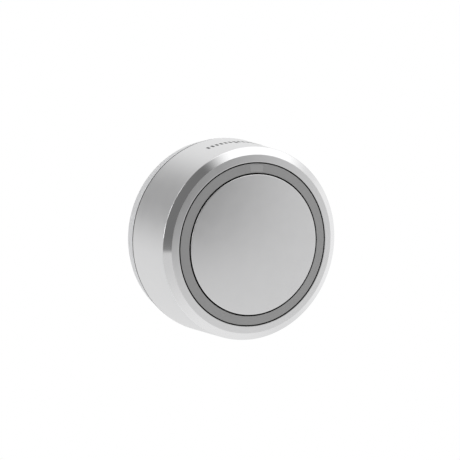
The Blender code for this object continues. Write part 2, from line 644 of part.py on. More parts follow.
def make_contacts(mats, parent):
    """The plate that joins the cells at -X, and the two separate terminals at +X."""
    near, far = BATTERY_Y - CONTACT_HALF_WIDTH, BATTERY_Y + CONTACT_HALF_WIDTH
    spans = (
        ("bridge_contact", -1, -far, far, 0),
        ("positive_contact", 1, near, far, 1),
        ("negative_contact", 1, -far, -near, -1),
    )
    for name, side, y_from, y_to, tail_side in spans:
        outline = contact_outline(y_from, y_to, tail_side)
        bm = prism(outline, 0.0, CONTACT_THICKNESS)
        for vert in bm.verts:  # drawn as (z, y, thickness), stood up as (x, y, z)
            vert.co = (side * (CONTACT_X + vert.co.z), vert.co.y, vert.co.x)
        piece(name, bm, mats["steel"], parent)
    start = CONTACT_X - SEAT
    for name, side in (("bridge_spring", -1), ("negative_spring", 1)):
        coil(name, CONTACT_SPRING_RADIUS, CONTACT_SPRING_WIRE, CONTACT_SPRING_LENGTH, 3, mats["steel"], parent,
             (side * start, -side * BATTERY_Y, BATTERY_Z), (0.0, -side * math.pi / 2, 0.0))


# Button


def make_button(mats, parent):
    """The domed metal cap, and the carrier under it with its stem and flange."""
    skirt_back = RING_FLANGE_FRONT - SKIRT_DEPTH
    skirt_inner = BUTTON_RADIUS - CAP_WALL
    cap = [*dome(0.0, BUTTON_RADIUS, 4), (BUTTON_RADIUS, skirt_back), (skirt_inner, skirt_back)]
    cap += dome(skirt_inner, 0.0, 3, CAP_WALL)
    piece("button_cap", turned(cap, OUTER_SEGMENTS), mats["satin_metal"], parent)
    top_radius = skirt_inner - SEAT
    hollow = top_radius - CARRIER_WALL
    shoulder = skirt_back - SEAT
    flange_front = RING_BACK - RUNNING
    flange_back = flange_front - CARRIER_FLANGE_THICKNESS
    ceiling = DOME_TOP - CARRIER_CEILING
    stem_back = PLUNGER_FRONT + SEAT
    carrier = [(0.0, stem_back), (STEM_RADIUS, stem_back), (STEM_RADIUS, ceiling), (hollow, ceiling)]
    carrier += [(hollow, flange_back), (FLANGE_RADIUS, flange_back), (FLANGE_RADIUS, flange_front)]
    carrier += [(BUTTON_RADIUS, flange_front), (BUTTON_RADIUS, shoulder), (top_radius, shoulder)]
    carrier += dome(top_radius, 0.0, 3, CAP_WALL + SEAT)
    piece("button_carrier", turned(carrier, INNER_SEGMENTS), mats["white_plastic"], parent)


def make_return_spring(mats, parent):
    """The spring between the frame's floor and the carrier."""
    back = FRAME_FLOOR_FRONT + SEAT
    length = DOME_TOP - CARRIER_CEILING - SEAT - back
    coil("return_spring", SPRING_RADIUS, SPRING_WIRE, length, SPRING_TURNS, mats["steel"], parent, (0.0, 0.0, back))


def make_pairing_button(mats, parent):
    """The pairing button in the chassis floor, and the small switch's plunger. The parent stands on its axis."""
    flange_back = CHASSIS_FLOOR_FRONT + SEAT
    flange_front = flange_back + PAIRING_FLANGE_THICKNESS
    button_back = CHASSIS_FLOOR_BACK - PAIRING_PROUD
    profile = [(0.0, button_back), (PAIRING_RADIUS, button_back)]
    profile += [(PAIRING_RADIUS, flange_back), (PAIRING_RADIUS + PAIRING_FLANGE, flange_back)]
    profile += [(PAIRING_RADIUS + PAIRING_FLANGE, flange_front), (0.0, flange_front)]
    piece("pairing_button", turned(profile, SMALL_SEGMENTS), mats["white_plastic"], parent)
    plunger_front = BOARD_BACK - 2 * SEAT - PAIRING_TRAVEL - SEAT
    plunger = disc(PAIRING_PLUNGER_RADIUS, flange_front + SEAT, plunger_front)
    piece("pairing_plunger", plunger, mats["black_plastic"], parent)


# Wall plate


def lug_depths():
    """The Z span of the chassis lugs, which lie behind the plate's tabs."""
    front = PLATE_DEPTH - SEAT - TAB_THICKNESS - SEAT
    return front - LUG_THICKNESS, front


def make_wall_plate(mats, parent):
    """The plate that stays on the wall: drafted skirt, bayonet tabs and stops, screw slots, pad recesses."""
    back_radius = PLATE_RADIUS - PLATE_DRAFT
    skirt_inner = CHASSIS_NECK + LUG_REACH + SEAT
    profile = [(0.0, 0.0), (back_radius - PLATE_EDGE, 0.0), (back_radius, PLATE_EDGE)]
    profile += [(PLATE_RADIUS, PLATE_DEPTH), (skirt_inner, PLATE_DEPTH), (skirt_inner, PLATE_FLOOR)]
    profile += [(0.0, PLATE_FLOOR)]
    plate = piece("wall_plate", turned(profile, OUTER_SEGMENTS), mats["plate_plastic"], parent)
    lug_back, lug_front = lug_depths()
    tab_back = lug_front + SEAT
    tab_inner = CHASSIS_NECK + SEAT
    for angle in BAYONET_ANGLES:
        locked_stop = angle - LUG_HALF_DEG - STOP_GAP_DEG - STOP_DEG
        free_stop = angle + LUG_HALF_DEG + UNLOCK_DEG + STOP_GAP_DEG
        add(plate, sector(tab_inner, skirt_inner + OVERLAP, locked_stop, angle + LUG_HALF_DEG + STOP_GAP_DEG,
                          tab_back, tab_back + TAB_THICKNESS))
        for stop in (locked_stop, free_stop):
            add(plate, sector(tab_inner, skirt_inner + OVERLAP, stop, stop + STOP_DEG,
                              PLATE_FLOOR - OVERLAP, tab_back + OVERLAP))
    for side, turn in ((1, 90.0), (-1, 0.0)):
        centre = (0.0, side * SCREW_SLOT_OFFSET)
        cut(plate, slot(SCREW_SLOT_LENGTH, SCREW_SLOT_WIDTH, turn, centre, -OVERLAP, PLATE_FLOOR + OVERLAP))
        cut(plate, slot(SCREW_SLOT_LENGTH + HEAD_POCKET, SCREW_SLOT_WIDTH + HEAD_POCKET, turn, centre,
                        PLATE_FLOOR - HEAD_POCKET_DEPTH, PLATE_FLOOR + OVERLAP))
    for side in (1, -1):
        outline = rounded_rectangle(*PAD_SIZE, PAD_CORNER, (side * PAD_OFFSET, 0.0))
        cut(plate, prism(outline, -OVERLAP, PAD_RECESS))


def slot(length, width, degrees, centre, z_from, z_to):
    """A slot with round ends, its length turned by this angle from X."""
    turn = math.radians(degrees)
    end_flat = 1e-5
    outline = []
    for x, y in rounded_rectangle(length, width, width / 2 - end_flat, steps=6):
        outline.append((centre[0] + x * math.cos(turn) - y * math.sin(turn),
                        centre[1] + x * math.sin(turn) + y * math.cos(turn)))
    return prism(outline, z_from, z_to)


def make_adhesive_pads(mats, parent):
    """Two foam pads in the plate's recesses, level with its back."""
    width, height = (size - 2 * SEAT for size in PAD_SIZE)
    for name, side in (("adhesive_pad_right", 1), ("adhesive_pad_left", -1)):
        outline = rounded_rectangle(width, height, PAD_CORNER - SEAT, (side * PAD_OFFSET, 0.0))
        piece(name, prism(outline, 0.0, PAD_RECESS - SEAT), mats["foam"], parent)


def build():
    for old in list(bpy.data.objects):
        bpy.data.objects.remove(old)
    mats = make_materials()
    wall_axes = empty("wall_axes")
    wall_axes.rotation_euler = (math.pi / 2, 0.0, 0.0)

    make_wall_plate(mats, wall_axes)
    make_adhesive_pads(mats, wall_axes)

    housing_axis = empty("housing_axis", wall_axes)
    make_front_housing(mats, housing_axis)
    make_light_ring(mats, housing_axis)
    make_light_guide(mats, housing_axis)
    make_inner_frame(mats, housing_axis)
    make_board(mats, housing_axis)
    make_leds(mats, housing_axis)
    make_rear_parts(mats, housing_axis)
    make_pairing_switch(mats, housing_axis)
    make_chassis(mats, housing_axis)
    make_rear_seal(mats, housing_axis)
    make_chassis_screws(mats, housing_axis)
    make_batteries(mats, housing_axis)
    make_contacts(mats, housing_axis)

    button_slide = empty("button_slide", housing_axis)
    make_button(mats, button_slide)
    make_return_spring(mats, housing_axis)
    make_main_switch(mats, housing_axis, empty("switch_slide", housing_axis))
    pairing_slide = empty("pairing_slide", housing_axis, (PAIRING_X, PAIRING_Y, 0.0))
    make_pairing_button(mats, pairing_slide)


build()
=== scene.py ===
"""The looks of the surface-mounted push button: finely edged visual meshes, procedural materials for every
piece, the camera, and a plain white studio.

Metres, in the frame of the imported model: the wall is the plane Y = 0, the button faces -Y, and +Z is up.
Below, a depth is a distance from the wall, which is -Y.
"""

import json
import math

import bmesh
import bpy
from mathutils import Matrix, Vector


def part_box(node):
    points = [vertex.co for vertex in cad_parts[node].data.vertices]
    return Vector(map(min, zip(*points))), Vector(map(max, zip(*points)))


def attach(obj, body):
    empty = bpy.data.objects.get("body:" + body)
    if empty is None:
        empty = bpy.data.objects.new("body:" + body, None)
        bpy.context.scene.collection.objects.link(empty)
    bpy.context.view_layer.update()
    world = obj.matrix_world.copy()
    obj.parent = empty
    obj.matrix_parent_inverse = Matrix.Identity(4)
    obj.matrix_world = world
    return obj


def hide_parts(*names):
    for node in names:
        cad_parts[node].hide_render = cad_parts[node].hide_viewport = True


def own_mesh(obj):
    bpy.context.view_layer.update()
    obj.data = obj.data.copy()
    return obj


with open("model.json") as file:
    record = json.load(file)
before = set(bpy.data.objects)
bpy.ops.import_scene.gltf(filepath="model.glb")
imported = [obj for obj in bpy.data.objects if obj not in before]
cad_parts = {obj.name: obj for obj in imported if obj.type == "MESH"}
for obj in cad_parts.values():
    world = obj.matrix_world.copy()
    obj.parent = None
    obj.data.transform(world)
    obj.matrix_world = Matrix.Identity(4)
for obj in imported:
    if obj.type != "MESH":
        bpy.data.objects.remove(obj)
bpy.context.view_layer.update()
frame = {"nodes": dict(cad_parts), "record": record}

# The design's own sizes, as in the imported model
DOME_RADIUS = 0.160
SHELL_WALL = 0.0020
SEAT = 0.0003
SNAP_ANGLES = (0.0, 120.0, 240.0)
SNAP_POCKET_HALF_DEG = 5.0
SNAP_POCKET_REACH = 0.0009
BAYONET_ANGLES = (30.0, 150.0, 270.0)
LUG_HALF_DEG = 8.0
UNLOCK_DEG = 20.0
STOP_GAP_DEG = 0.8
STOP_DEG = 3.0
TAB_THICKNESS = 0.0012
TAB_REACH = 0.0016
SCREW_SLOT_WIDTH = 0.0040
SCREW_SLOT_LENGTH = 0.0080
SCREW_SLOT_OFFSET = 0.0200
HEAD_POCKET = 0.0035
HEAD_POCKET_DEPTH = 0.0010
PAD_CORNER = 0.0030
SCREW_RADIUS = 0.0011
SCREW_HEAD_HEIGHT = 0.0014
RECESS_LENGTH = 0.0022
RECESS_WIDTH = 0.0005
RECESS_DEPTH = 0.0008
BATTERY_NUB_LENGTH = 0.0009
BATTERY_NUB_RADIUS = 0.0019
BATTERY_SHOULDER = 0.0005
SPRING_WIRE = 0.00035
SPRING_TURNS = 4
CONTACT_SPRING_WIRE = 0.00025
CONTACT_SPRING_TURNS = 3
ANTENNA_WIRE = 0.00022
ANTENNA_TURNS = 5

# Edges and small details that the visual meshes add
RIM_BREAK = 0.00022
BEVEL_BREAK = 0.00022
BEVEL_EDGE_BREAK = 0.00040
SEAM_BREAK = 0.00008
CAP_BREAK = 0.00025
RING_BREAK = 0.00010
SMALL_BREAK = 0.00012
BOARD_BREAK = 0.00005
SHEET_BREAK = 0.00006
KEY_SWITCH_BREAK = 0.00008
PACKAGE_BREAK = 0.00010
PAD_BREAK = 0.00014
RADIO_BREAK = 0.00018
CRYSTAL_BREAK = 0.00025
OVERLAP = 0.0002  # how far shapes that are joined or cut reach into each other
WINDOW_DEG = (81.0, 93.0)
WINDOW_MARGIN = 0.00030  # faces this near the ring's edges stay out of the window
WINDOW_BORDER = 0.00008
WINDOW_SINK = 0.00005
MARK_DEPTH = 0.0158
MARK_STEP_DEG = 2.9
MARK_COUNT = 13
MARK_SIZE = (0.00075, 0.0021)
MIDDLE_MARK = 1.6  # the middle mark's length, as a share of the others'
MARK_RELIEF = 0.00003
THREAD_PITCH = 0.00045
THREAD_DEPTH = 0.00018
THREAD_CREST = 0.45  # where the crest stands, as a share of the pitch
SCREW_CROWN = 0.72  # how wide the flat middle of a screw's head is, as a share of the head
SCREW_CROWN_HEIGHT = 0.55  # how much of the head's height the crown takes
SCREW_TIP = 0.6  # how wide the tip is, as a share of the thread's root
SCREW_BREAKS = {1: 0.0005, 2: 0.0003, 3: 0.0001}  # by corner, from the crown to the seat
CELL_BAND = (0.76, 0.94)  # where the plain band round a cell starts and ends, as shares of its length
CELL_CRIMP = 0.0007  # how wide the jacket's turned-in edge is on a cell's ends
CELL_ROUND = (0.0002, 0.0001)  # the jacket's edge: how far inside the radius, and from the end
CELL_SLOPE = 0.0003  # how wide the slope round the negative end is
CELL_END_STEP = 0.0003  # how far the steel of the positive end stands back
CELL_BREAK = 0.0002
CELL_CRIMP_BREAK = 0.00008
CELL_NUB_BREAK = 0.0003
CAN_NECK = 0.28  # where the groove round the capacitor stands, as a share of its height
CAN_NECK_SIZE = (0.00018, 0.00012)  # how deep the groove is, and half its width
CAN_BREAKS = {1: SMALL_BREAK, 2: 0.00008, 3: 0.00006, 4: 0.00008, 5: 0.0003}  # by corner, from the board
CLOSED_TURNS = 0.75  # how many turns of a wire lie closed at each end
CONE_TOP = 0.62  # how wide a cone spring is at its narrow end, as a share of the wide one
SLOT_END_FLAT = 0.00001  # half the straight stretch in the middle of a slot's round end
EJECTOR_RADIUS = 0.0017
EJECTOR_DEPTH = 0.00008
EJECTOR_CIRCLE = 0.0262
EJECTOR_ANGLES = (12.0, 62.0, 118.0, 168.0, 192.0, 242.0, 298.0, 348.0)
REBATE = (0.00030, 0.00025)  # how far the shadow line's step goes inwards and back at the plate's front edge
LAND_GROOVE = (0.0294, 0.0298)  # radii of the fine groove inside the plate's outer land
LAND_GROOVE_DEPTH = 0.00015
ARROW_CENTRE = 0.0265
ARROW_SIZE = (0.0030, 0.0024)
ARROW_DEPTH = 0.00020
GATE_RADII = (0.0007, 0.0022)
GATE_DEPTH = 0.00035

# Camera and floor
CAMERA_DISTANCE = 0.700
CAMERA_AZIMUTH = math.radians(-28.555)
CAMERA_ELEVATION = math.radians(9.133)
CAMERA_LENS_MM = 162.2
AIM_RIGHT = math.radians(0.5637)
AIM_DOWN = math.radians(0.3806)
FLOOR_DROP = 0.35
FLOOR_RADIUS = 3.0
FLOOR_SEGMENTS = 64

# Fineness and limits
OUTER_SEGMENTS = 256
INNER_SEGMENTS = 128
SMALL_SEGMENTS = 48
RIM_STEPS = 4
RING_STEPS = 8
CAP_STEPS = 24
WIRE_STEPS = 32
WIRE_SIDES = 10
SAME = 1e-6  # lengths that differ by less count as equal
READ_SAME = 3e-6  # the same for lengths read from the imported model
FACING = 0.9  # a face looks along Y when its normal goes at least this far along it
OPEN_DEG = 170.0  # a profile's corner that is more open than this stays as it is
FLAT_DEG = 1.0  # facets that meet at less than this are one face
SHARP_DEG = 30  # edges sharper than this are shaded as edges
ROUNDED_SHARP_DEG = 40  # the same for a piece with rounded edges
WIRE_SHARP_DEG = 60  # and for a wire


def corners(node):
    """The (radius, depth) corners of a CAD node that is turned about the button's axis."""
    vertices = frame["nodes"][node].data.vertices
    return {(round(math.hypot(v.co.x, v.co.z), 6), round(-v.co.y, 6)) for v in vertices}


def depths(node, radius):
    """The depths of a turned node's corners at this radius, from the wall outwards."""
    return sorted(d for r, d in corners(node) if abs(r - radius) < READ_SAME)


def radii(node, depth):
    """The radii of a turned node's corners at this depth, from the middle outwards."""
    return sorted(r for r, d in corners(node) if abs(d - depth) < READ_SAME)


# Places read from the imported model
cap_low, cap_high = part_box("button_cap")
ring_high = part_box("light_ring")[1]
housing_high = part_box("front_housing")[1]
plate_low, plate_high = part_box("wall_plate")

DOME_TOP = -cap_low.y
CAP_RADIUS = cap_high.x
CAP_BACK = -cap_high.y
RING_FLANGE = ring_high.x
RING_BACK = -ring_high.y
RING_FLANGE_FRONT = depths("light_ring", RING_FLANGE)[-1]
RING_INNER = radii("light_ring", RING_BACK)[0]
RING_OUTER = radii("light_ring", RING_FLANGE_FRONT)[0]
SEAM_RADIUS = housing_high.x
SEAM_DEPTH = -housing_high.y
RIM_INNER = min(r for r, d in corners("front_housing"))
LIP_BACK = depths("front_housing", RIM_INNER)[0]
RIM_OUTER = max(r for r, d in corners("front_housing") if d > LIP_BACK + SEAT)
FRONT_RADIUS = max(r for r, d in corners("front_housing") if d > SEAM_DEPTH + SEAT)
BEVEL_EDGE_DEPTH = depths("front_housing", FRONT_RADIUS)[-1]
PLATE_RADIUS = plate_high.x
PLATE_DEPTH = -plate_low.y
INNER_FRONT = FRONT_RADIUS - SHELL_WALL
INNER_BACK = SEAM_RADIUS - SHELL_WALL


def dome_depth(radius):
    """Distance from the wall of the domed front at this radius."""
    return DOME_TOP - DOME_RADIUS + math.sqrt(DOME_RADIUS**2 - radius**2)


RING_RECESS = dome_depth(RING_INNER) - depths("light_ring", RING_INNER)[-1]


def dome(r_from, r_to, steps, drop=0.0):
    """Points along the domed front, a distance drop behind it."""
    along = [r_from + (r_to - r_from) * i / steps for i in range(steps + 1)]
    return [(r, dome_depth(r) - drop) for r in along]


# Meshes


def fillet(points, breaks, steps=4, guard=0.00005):
    """A profile with some corners rounded. breaks maps the index of a point to its radius, and a guard
    point on each side of an arc keeps the shading of the long stretch next to it flat."""
    rounded = []
    for i, point in enumerate(points):
        here = Vector(point)
        before = (Vector(points[i - 1]) - here).normalized()
        after = (Vector(points[(i + 1) % len(points)]) - here).normalized()
        if i not in breaks or before.angle(after) > math.radians(OPEN_DEG):
            rounded.append(tuple(point))
            continue
        half = before.angle(after) / 2
        reach = breaks[i] / math.tan(half)
        centre = here + (before + after).normalized() * (breaks[i] / math.sin(half))
        first = here + before * reach
        last = here + after * reach
        rounded.append(tuple(first + before * guard))
        for step in range(steps + 1):
            spoke = (first - centre).lerp(last - centre, step / steps).normalized()
            rounded.append(tuple(centre + spoke * breaks[i]))
        rounded.append(tuple(last + after * guard))
    return rounded


def turn(profile, segments=OUTER_SEGMENTS, slot_of=None):
    """A bmesh turned about the button's axis from (radius, depth) points that go round the section."""
    bm = bmesh.new()
    rings = []
    for radius, depth in profile:
        if radius < SAME:
            rings.append([bm.verts.new((0.0, -depth, 0.0))])
            continue
        spokes = [math.tau * i / segments for i in range(segments)]
        rings.append([bm.verts.new((radius * math.cos(a), -depth, radius * math.sin(a))) for a in spokes])
    for i, ring in enumerate(rings):
        following = (i + 1) % len(rings)
        other = rings[following]
        if len(ring) == 1 and len(other) == 1:
            continue
        middle = [(a + b) / 2 for a, b in zip(profile[i], profile[following])]
        for j in range(segments):
            k = (j + 1) % segments
            if len(ring) == 1:
                face = bm.faces.new((ring[0], other[j], other[k]))
            elif len(other) == 1:
                face = bm.faces.new((ring[j], other[0], ring[k]))
            else:
                face = bm.faces.new((ring[j], other[j], other[k], ring[k]))
            if slot_of:
                face.material_index = slot_of(*middle)
    bmesh.ops.recalc_face_normals(bm, faces=bm.faces)
    return bm


def prism(outline, depth_from, depth_to):
    """An outline of (x, z) points, drawn out from one depth to another."""
    bm = bmesh.new()
    face = bm.faces.new([bm.verts.new((x, -depth_from, z)) for x, z in outline])
    drawn = bmesh.ops.extrude_face_region(bm, geom=[face])["geom"]
    far = [v for v in drawn if isinstance(v, bmesh.types.BMVert)]
    bmesh.ops.translate(bm, verts=far, vec=(0, depth_from - depth_to, 0))
    return bm


def arc(radius, from_deg, to_deg, steps, centre=(0.0, 0.0)):
    """Points on a circle's arc."""
    angles = [math.radians(from_deg + (to_deg - from_deg) * i / steps) for i in range(steps + 1)]
    return [(centre[0] + radius * math.cos(a), centre[1] + radius * math.sin(a)) for a in angles]


def sector(r_in, r_out, from_deg, to_deg, depth_from, depth_to):
    """A piece of a flat ring."""
    steps = max(2, round(to_deg - from_deg))
    outline = arc(r_out, from_deg, to_deg, steps) + arc(r_in, to_deg, from_deg, steps)
    return prism(outline, depth_from, depth_to)


def disc(radius, depth_from, depth_to, centre=(0.0, 0.0)):
    """A plain cylinder along Y."""
    return prism(arc(radius, 0.0, 360.0, SMALL_SEGMENTS, centre)[:-1], depth_from, depth_to)


def rounded_rectangle(width, height, corner, centre=(0.0, 0.0), steps=8):
    """Corner points of a rectangle with round corners."""
    x, z = width / 2 - corner, height / 2 - corner
    outline = []
    for turns, (sx, sz) in enumerate(((1, 1), (-1, 1), (-1, -1), (1, -1))):
        middle = (centre[0] + sx * x, centre[1] + sz * z)
        outline += arc(corner, 90.0 * turns, 90.0 * (turns + 1), steps, middle)
    return [p for i, p in enumerate(outline) if math.dist(p, outline[i - 1]) > SAME]


def make_object(name, bm, materials, sharp=SHARP_DEG):
    """An object from a bmesh, faces out and smooth up to the sharp angle."""
    bmesh.ops.recalc_face_normals(bm, faces=bm.faces)
    mesh = bpy.data.meshes.new(name)
    bm.to_mesh(mesh)
    bm.free()
    made = bpy.data.objects.new(name, mesh)
    bpy.context.scene.collection.objects.link(made)
    for material in materials:
        mesh.materials.append(material)
    smooth(made, sharp)
    return made


def smooth(target, sharp=SHARP_DEG):
    """Smooth shading up to the sharp angle."""
    target.data.shade_smooth()
    target.data.set_sharp_from_angle(angle=math.radians(sharp))


def apply_modifiers(target):
    """Turns the target's modifiers into its mesh."""
    depsgraph = bpy.context.evaluated_depsgraph_get()
    mesh = bpy.data.meshes.new_from_object(target.evaluated_get(depsgraph))
    target.modifiers.clear()
    target.data = mesh


def combine(target, bm, operation):
    """Joins a shape to the target or cuts it away."""
    helper = make_object("helper", bm, list(target.data.materials))
    modifier = target.modifiers.new("shape", "BOOLEAN")
    modifier.operation = operation
    modifier.solver = "EXACT"
    modifier.object = helper
    apply_modifiers(target)
    bpy.data.objects.remove(helper)


def round_edges(target, width, segments=2):
    """Rounds the target's sharp edges."""
    bevel = target.modifiers.new("edges", "BEVEL")
    bevel.width = width
    bevel.segments = segments
    bevel.limit_method = "ANGLE"
    bevel.angle_limit = math.radians(SHARP_DEG)
    apply_modifiers(target)
    smooth(target, ROUNDED_SHARP_DEG)


def place(piece, slot, *nodes, body=None):
    """Puts a piece in the place of these CAD nodes, on their body, and hides the nodes. The slot argument is
    not used.
    """
    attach(piece, body or body_of(nodes[0]))
    if nodes:
        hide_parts(*nodes)
    return piece


def body_of(node):
    """The CAD body that holds this node."""
    groups = frame["record"]["behaviour"]["bodies"]
    return next(body for body, members in groups.items() if node in members)


# Materials


class Look:
    """A Principled material and short ways to add nodes to it."""

    def __init__(self, name, colour, roughness, metallic=0.0):
        self.material = bpy.data.materials.new(name)
        self.material.use_nodes = True
        self.tree = self.material.node_tree
        self.shader = self.tree.nodes["Principled BSDF"]
        self.shader.inputs["Base Color"].default_value = (*colour, 1.0)
        self.shader.inputs["Roughness"].default_value = roughness
        self.shader.inputs["Metallic"].default_value = metallic
        self.coordinates = self.add("ShaderNodeTexCoord").outputs["Object"]

    def add(self, kind, inputs=None, **settings):
        """A node with its settings, and its inputs given as values or as sockets to link from."""
        node = self.tree.nodes.new(kind)
        for key, value in settings.items():
            setattr(node, key, value)
        for key, value in (inputs or {}).items():
            if isinstance(value, bpy.types.NodeSocket):
                self.tree.links.new(value, node.inputs[key])
            else:
                node.inputs[key].default_value = value
        return node

    def link(self, source, target):
        """Links a socket to an input of the shader."""
        self.tree.links.new(source, self.shader.inputs[target])

    def noise(self, scale, detail=2.0, vector=None):
        """Noise around 0.5, with this many features per metre."""
        inputs = {"Vector": vector or self.coordinates, "Scale": scale, "Detail": detail}
        return self.add("ShaderNodeTexNoise", inputs).outputs["Fac"]

    def ramp(self, source, low, high, from_low=0.3, from_high=0.7):
        """The source's range turned into low to high."""
        inputs = {"Value": source, "From Min": from_low, "From Max": from_high, "To Min": low, "To Max": high}
        return self.add("ShaderNodeMapRange", inputs).outputs["Result"]

    def mix(self, factor, first, second):
        """A colour between two, by a factor."""
        node = self.add("ShaderNodeMix", {"Factor": factor}, data_type="RGBA")
        for socket, value in ((node.inputs[6], first), (node.inputs[7], second)):
            if isinstance(value, bpy.types.NodeSocket):
                self.tree.links.new(value, socket)
            else:
                socket.default_value = (*value, 1.0)
        return node.outputs[2]

    def shade(self, factor, colour, spread):
        """The base colour, a little darker or lighter by a factor from noise."""
        darker = tuple(c * (1.0 - spread) for c in colour)
        lighter = tuple(min(1.0, c * (1.0 + spread)) for c in colour)
        self.link(self.mix(self.ramp(factor, 0.0, 1.0), darker, lighter), "Base Color")

    def bump(self, height, distance):
        """A bump whose height is given in metres."""
        out = self.add("ShaderNodeBump", {"Height": height, "Distance": distance}).outputs["Normal"]
        self.link(out, "Normal")

    def turning_marks(self, along, across):
        """Coordinates that stretch noise round the button's axis, as turning marks are."""
        parts = self.add("ShaderNodeSeparateXYZ", {"Vector": self.coordinates})
        flat = self.add("ShaderNodeCombineXYZ", {"X": parts.outputs["X"], "Y": parts.outputs["Z"]}).outputs[0]
        radius = self.add("ShaderNodeVectorMath", {0: flat}, operation="LENGTH").outputs["Value"]
        unit = self.add("ShaderNodeVectorMath", {0: flat}, operation="NORMALIZE").outputs["Vector"]
        scaled = {0: unit, "Scale": along}
        around = self.add("ShaderNodeVectorMath", scaled, operation="SCALE").outputs["Vector"]
        rise = self.add("ShaderNodeMath", {0: radius, 1: across}, operation="MULTIPLY").outputs["Value"]
        lift = self.add("ShaderNodeCombineXYZ", {"Z": rise}).outputs["Vector"]
        return self.add("ShaderNodeVectorMath", {0: around, 1: lift}, operation="ADD").outputs["Vector"]


def satin_metal(name, colour, roughness):
    """Bead-blasted, clear-anodised metal: a fine grain, and a faint cloudiness in its gloss."""
    look = Look(name, colour, roughness, 1.0)
    cloud = look.noise(220.0, 3.0)
    look.shade(cloud, colour, 0.012)
    look.link(look.ramp(cloud, roughness - 0.02, roughness + 0.02), "Roughness")
    look.bump(look.noise(5200.0, 2.0), 0.000003)
    return look.material


def cut_metal(name, colour, roughness):
    """A bright diamond-cut facet, with fine marks that run round it."""
    look = Look(name, colour, roughness, 1.0)
    marks = look.noise(1.0, 3.0, look.turning_marks(3.0, 9000.0))
    look.shade(marks, colour, 0.010)
    look.link(look.ramp(marks, roughness - 0.015, roughness + 0.02), "Roughness")
    return look.material


def plastic(name, colour, roughness, grain=4200.0, height=0.000008, spread=0.02):
    """Moulded plastic with a fine spark-eroded grain and a faint unevenness of colour."""
    look = Look(name, colour, roughness)
    look.shade(look.noise(150.0, 3.0), colour, spread)
    fine = look.noise(grain, 2.0)
    look.link(look.ramp(fine, roughness - 0.05, roughness + 0.05), "Roughness")
    look.bump(fine, height)
    return look.material


def clear_plastic(name, colour, roughness):
    """Clear moulded plastic, faintly frosted."""
    look = Look(name, colour, roughness)
    look.shader.inputs["Transmission Weight"].default_value = 0.85
    look.shader.inputs["IOR"].default_value = 1.49
    frost = look.noise(900.0, 3.0)
    look.shade(frost, colour, 0.01)
    look.link(look.ramp(frost, roughness - 0.04, roughness + 0.06), "Roughness")
    look.bump(frost, 0.000004)
    return look.material


def rubber(name, colour, roughness):
    """Matt rubber with a dusty bloom."""
    look = Look(name, colour, roughness)
    look.shade(look.noise(700.0, 4.0), colour, 0.25)
    look.bump(look.noise(6000.0, 3.0), 0.00001)
    return look.material


def foam(name, colour, roughness):
    """Closed-cell foam: small round cells, each a shallow pit, under a faint mottling."""
    look = Look(name, colour, roughness)
    look.shade(look.noise(400.0, 3.0), colour, 0.05)
    inputs = {"Vector": look.coordinates, "Scale": 1900.0}
    cells = look.add("ShaderNodeTexVoronoi", inputs).outputs["Distance"]
    look.bump(cells, 0.00008)
    return look.material


def plated_steel(name, colour, roughness):
    """Bright nickel-plated sheet or wire, with drawing marks."""
    look = Look(name, colour, roughness, 1.0)
    inputs = {"Vector": look.coordinates, "Scale": (1.0, 14.0, 1.0)}
    streaks = look.add("ShaderNodeMapping", inputs).outputs[0]
    marks = look.noise(900.0, 3.0, streaks)
    look.shade(marks, colour, 0.05)
    look.link(look.ramp(marks, roughness - 0.06, roughness + 0.08), "Roughness")
    return look.material


def circuit_board(name, mask, track, roughness):
    """Solder mask over a pattern of copper tracks that run square to each other."""
    look = Look(name, mask, roughness)
    inputs = {"Vector": look.coordinates, "Scale": 420.0, "Randomness": 0.0}
    cells = look.add("ShaderNodeTexVoronoi", inputs, distance="MANHATTAN").outputs["Distance"]
    areas = look.ramp(look.noise(190.0, 1.0), 0.0, 1.0, 0.50, 0.53)
    lines = look.ramp(cells, 0.0, 1.0, 0.42, 0.46)
    copper = look.add("ShaderNodeMath", {0: lines, 1: areas}, operation="MULTIPLY").outputs[0]
    look.link(look.mix(copper, mask, track), "Base Color")
    look.bump(copper, 0.00003)
    return look.material


def cell_jacket(name, dark):
    """A cell's film jacket, dark, with a slight unevenness from shrinking."""
    look = Look(name, dark, 0.30, 0.25)
    cloud = look.noise(300.0, 2.0)
    look.shade(cloud, dark, 0.25)
    look.link(look.ramp(cloud, 0.26, 0.36), "Roughness")
    look.bump(look.noise(500.0, 1.0), 0.00002)
    return look.material


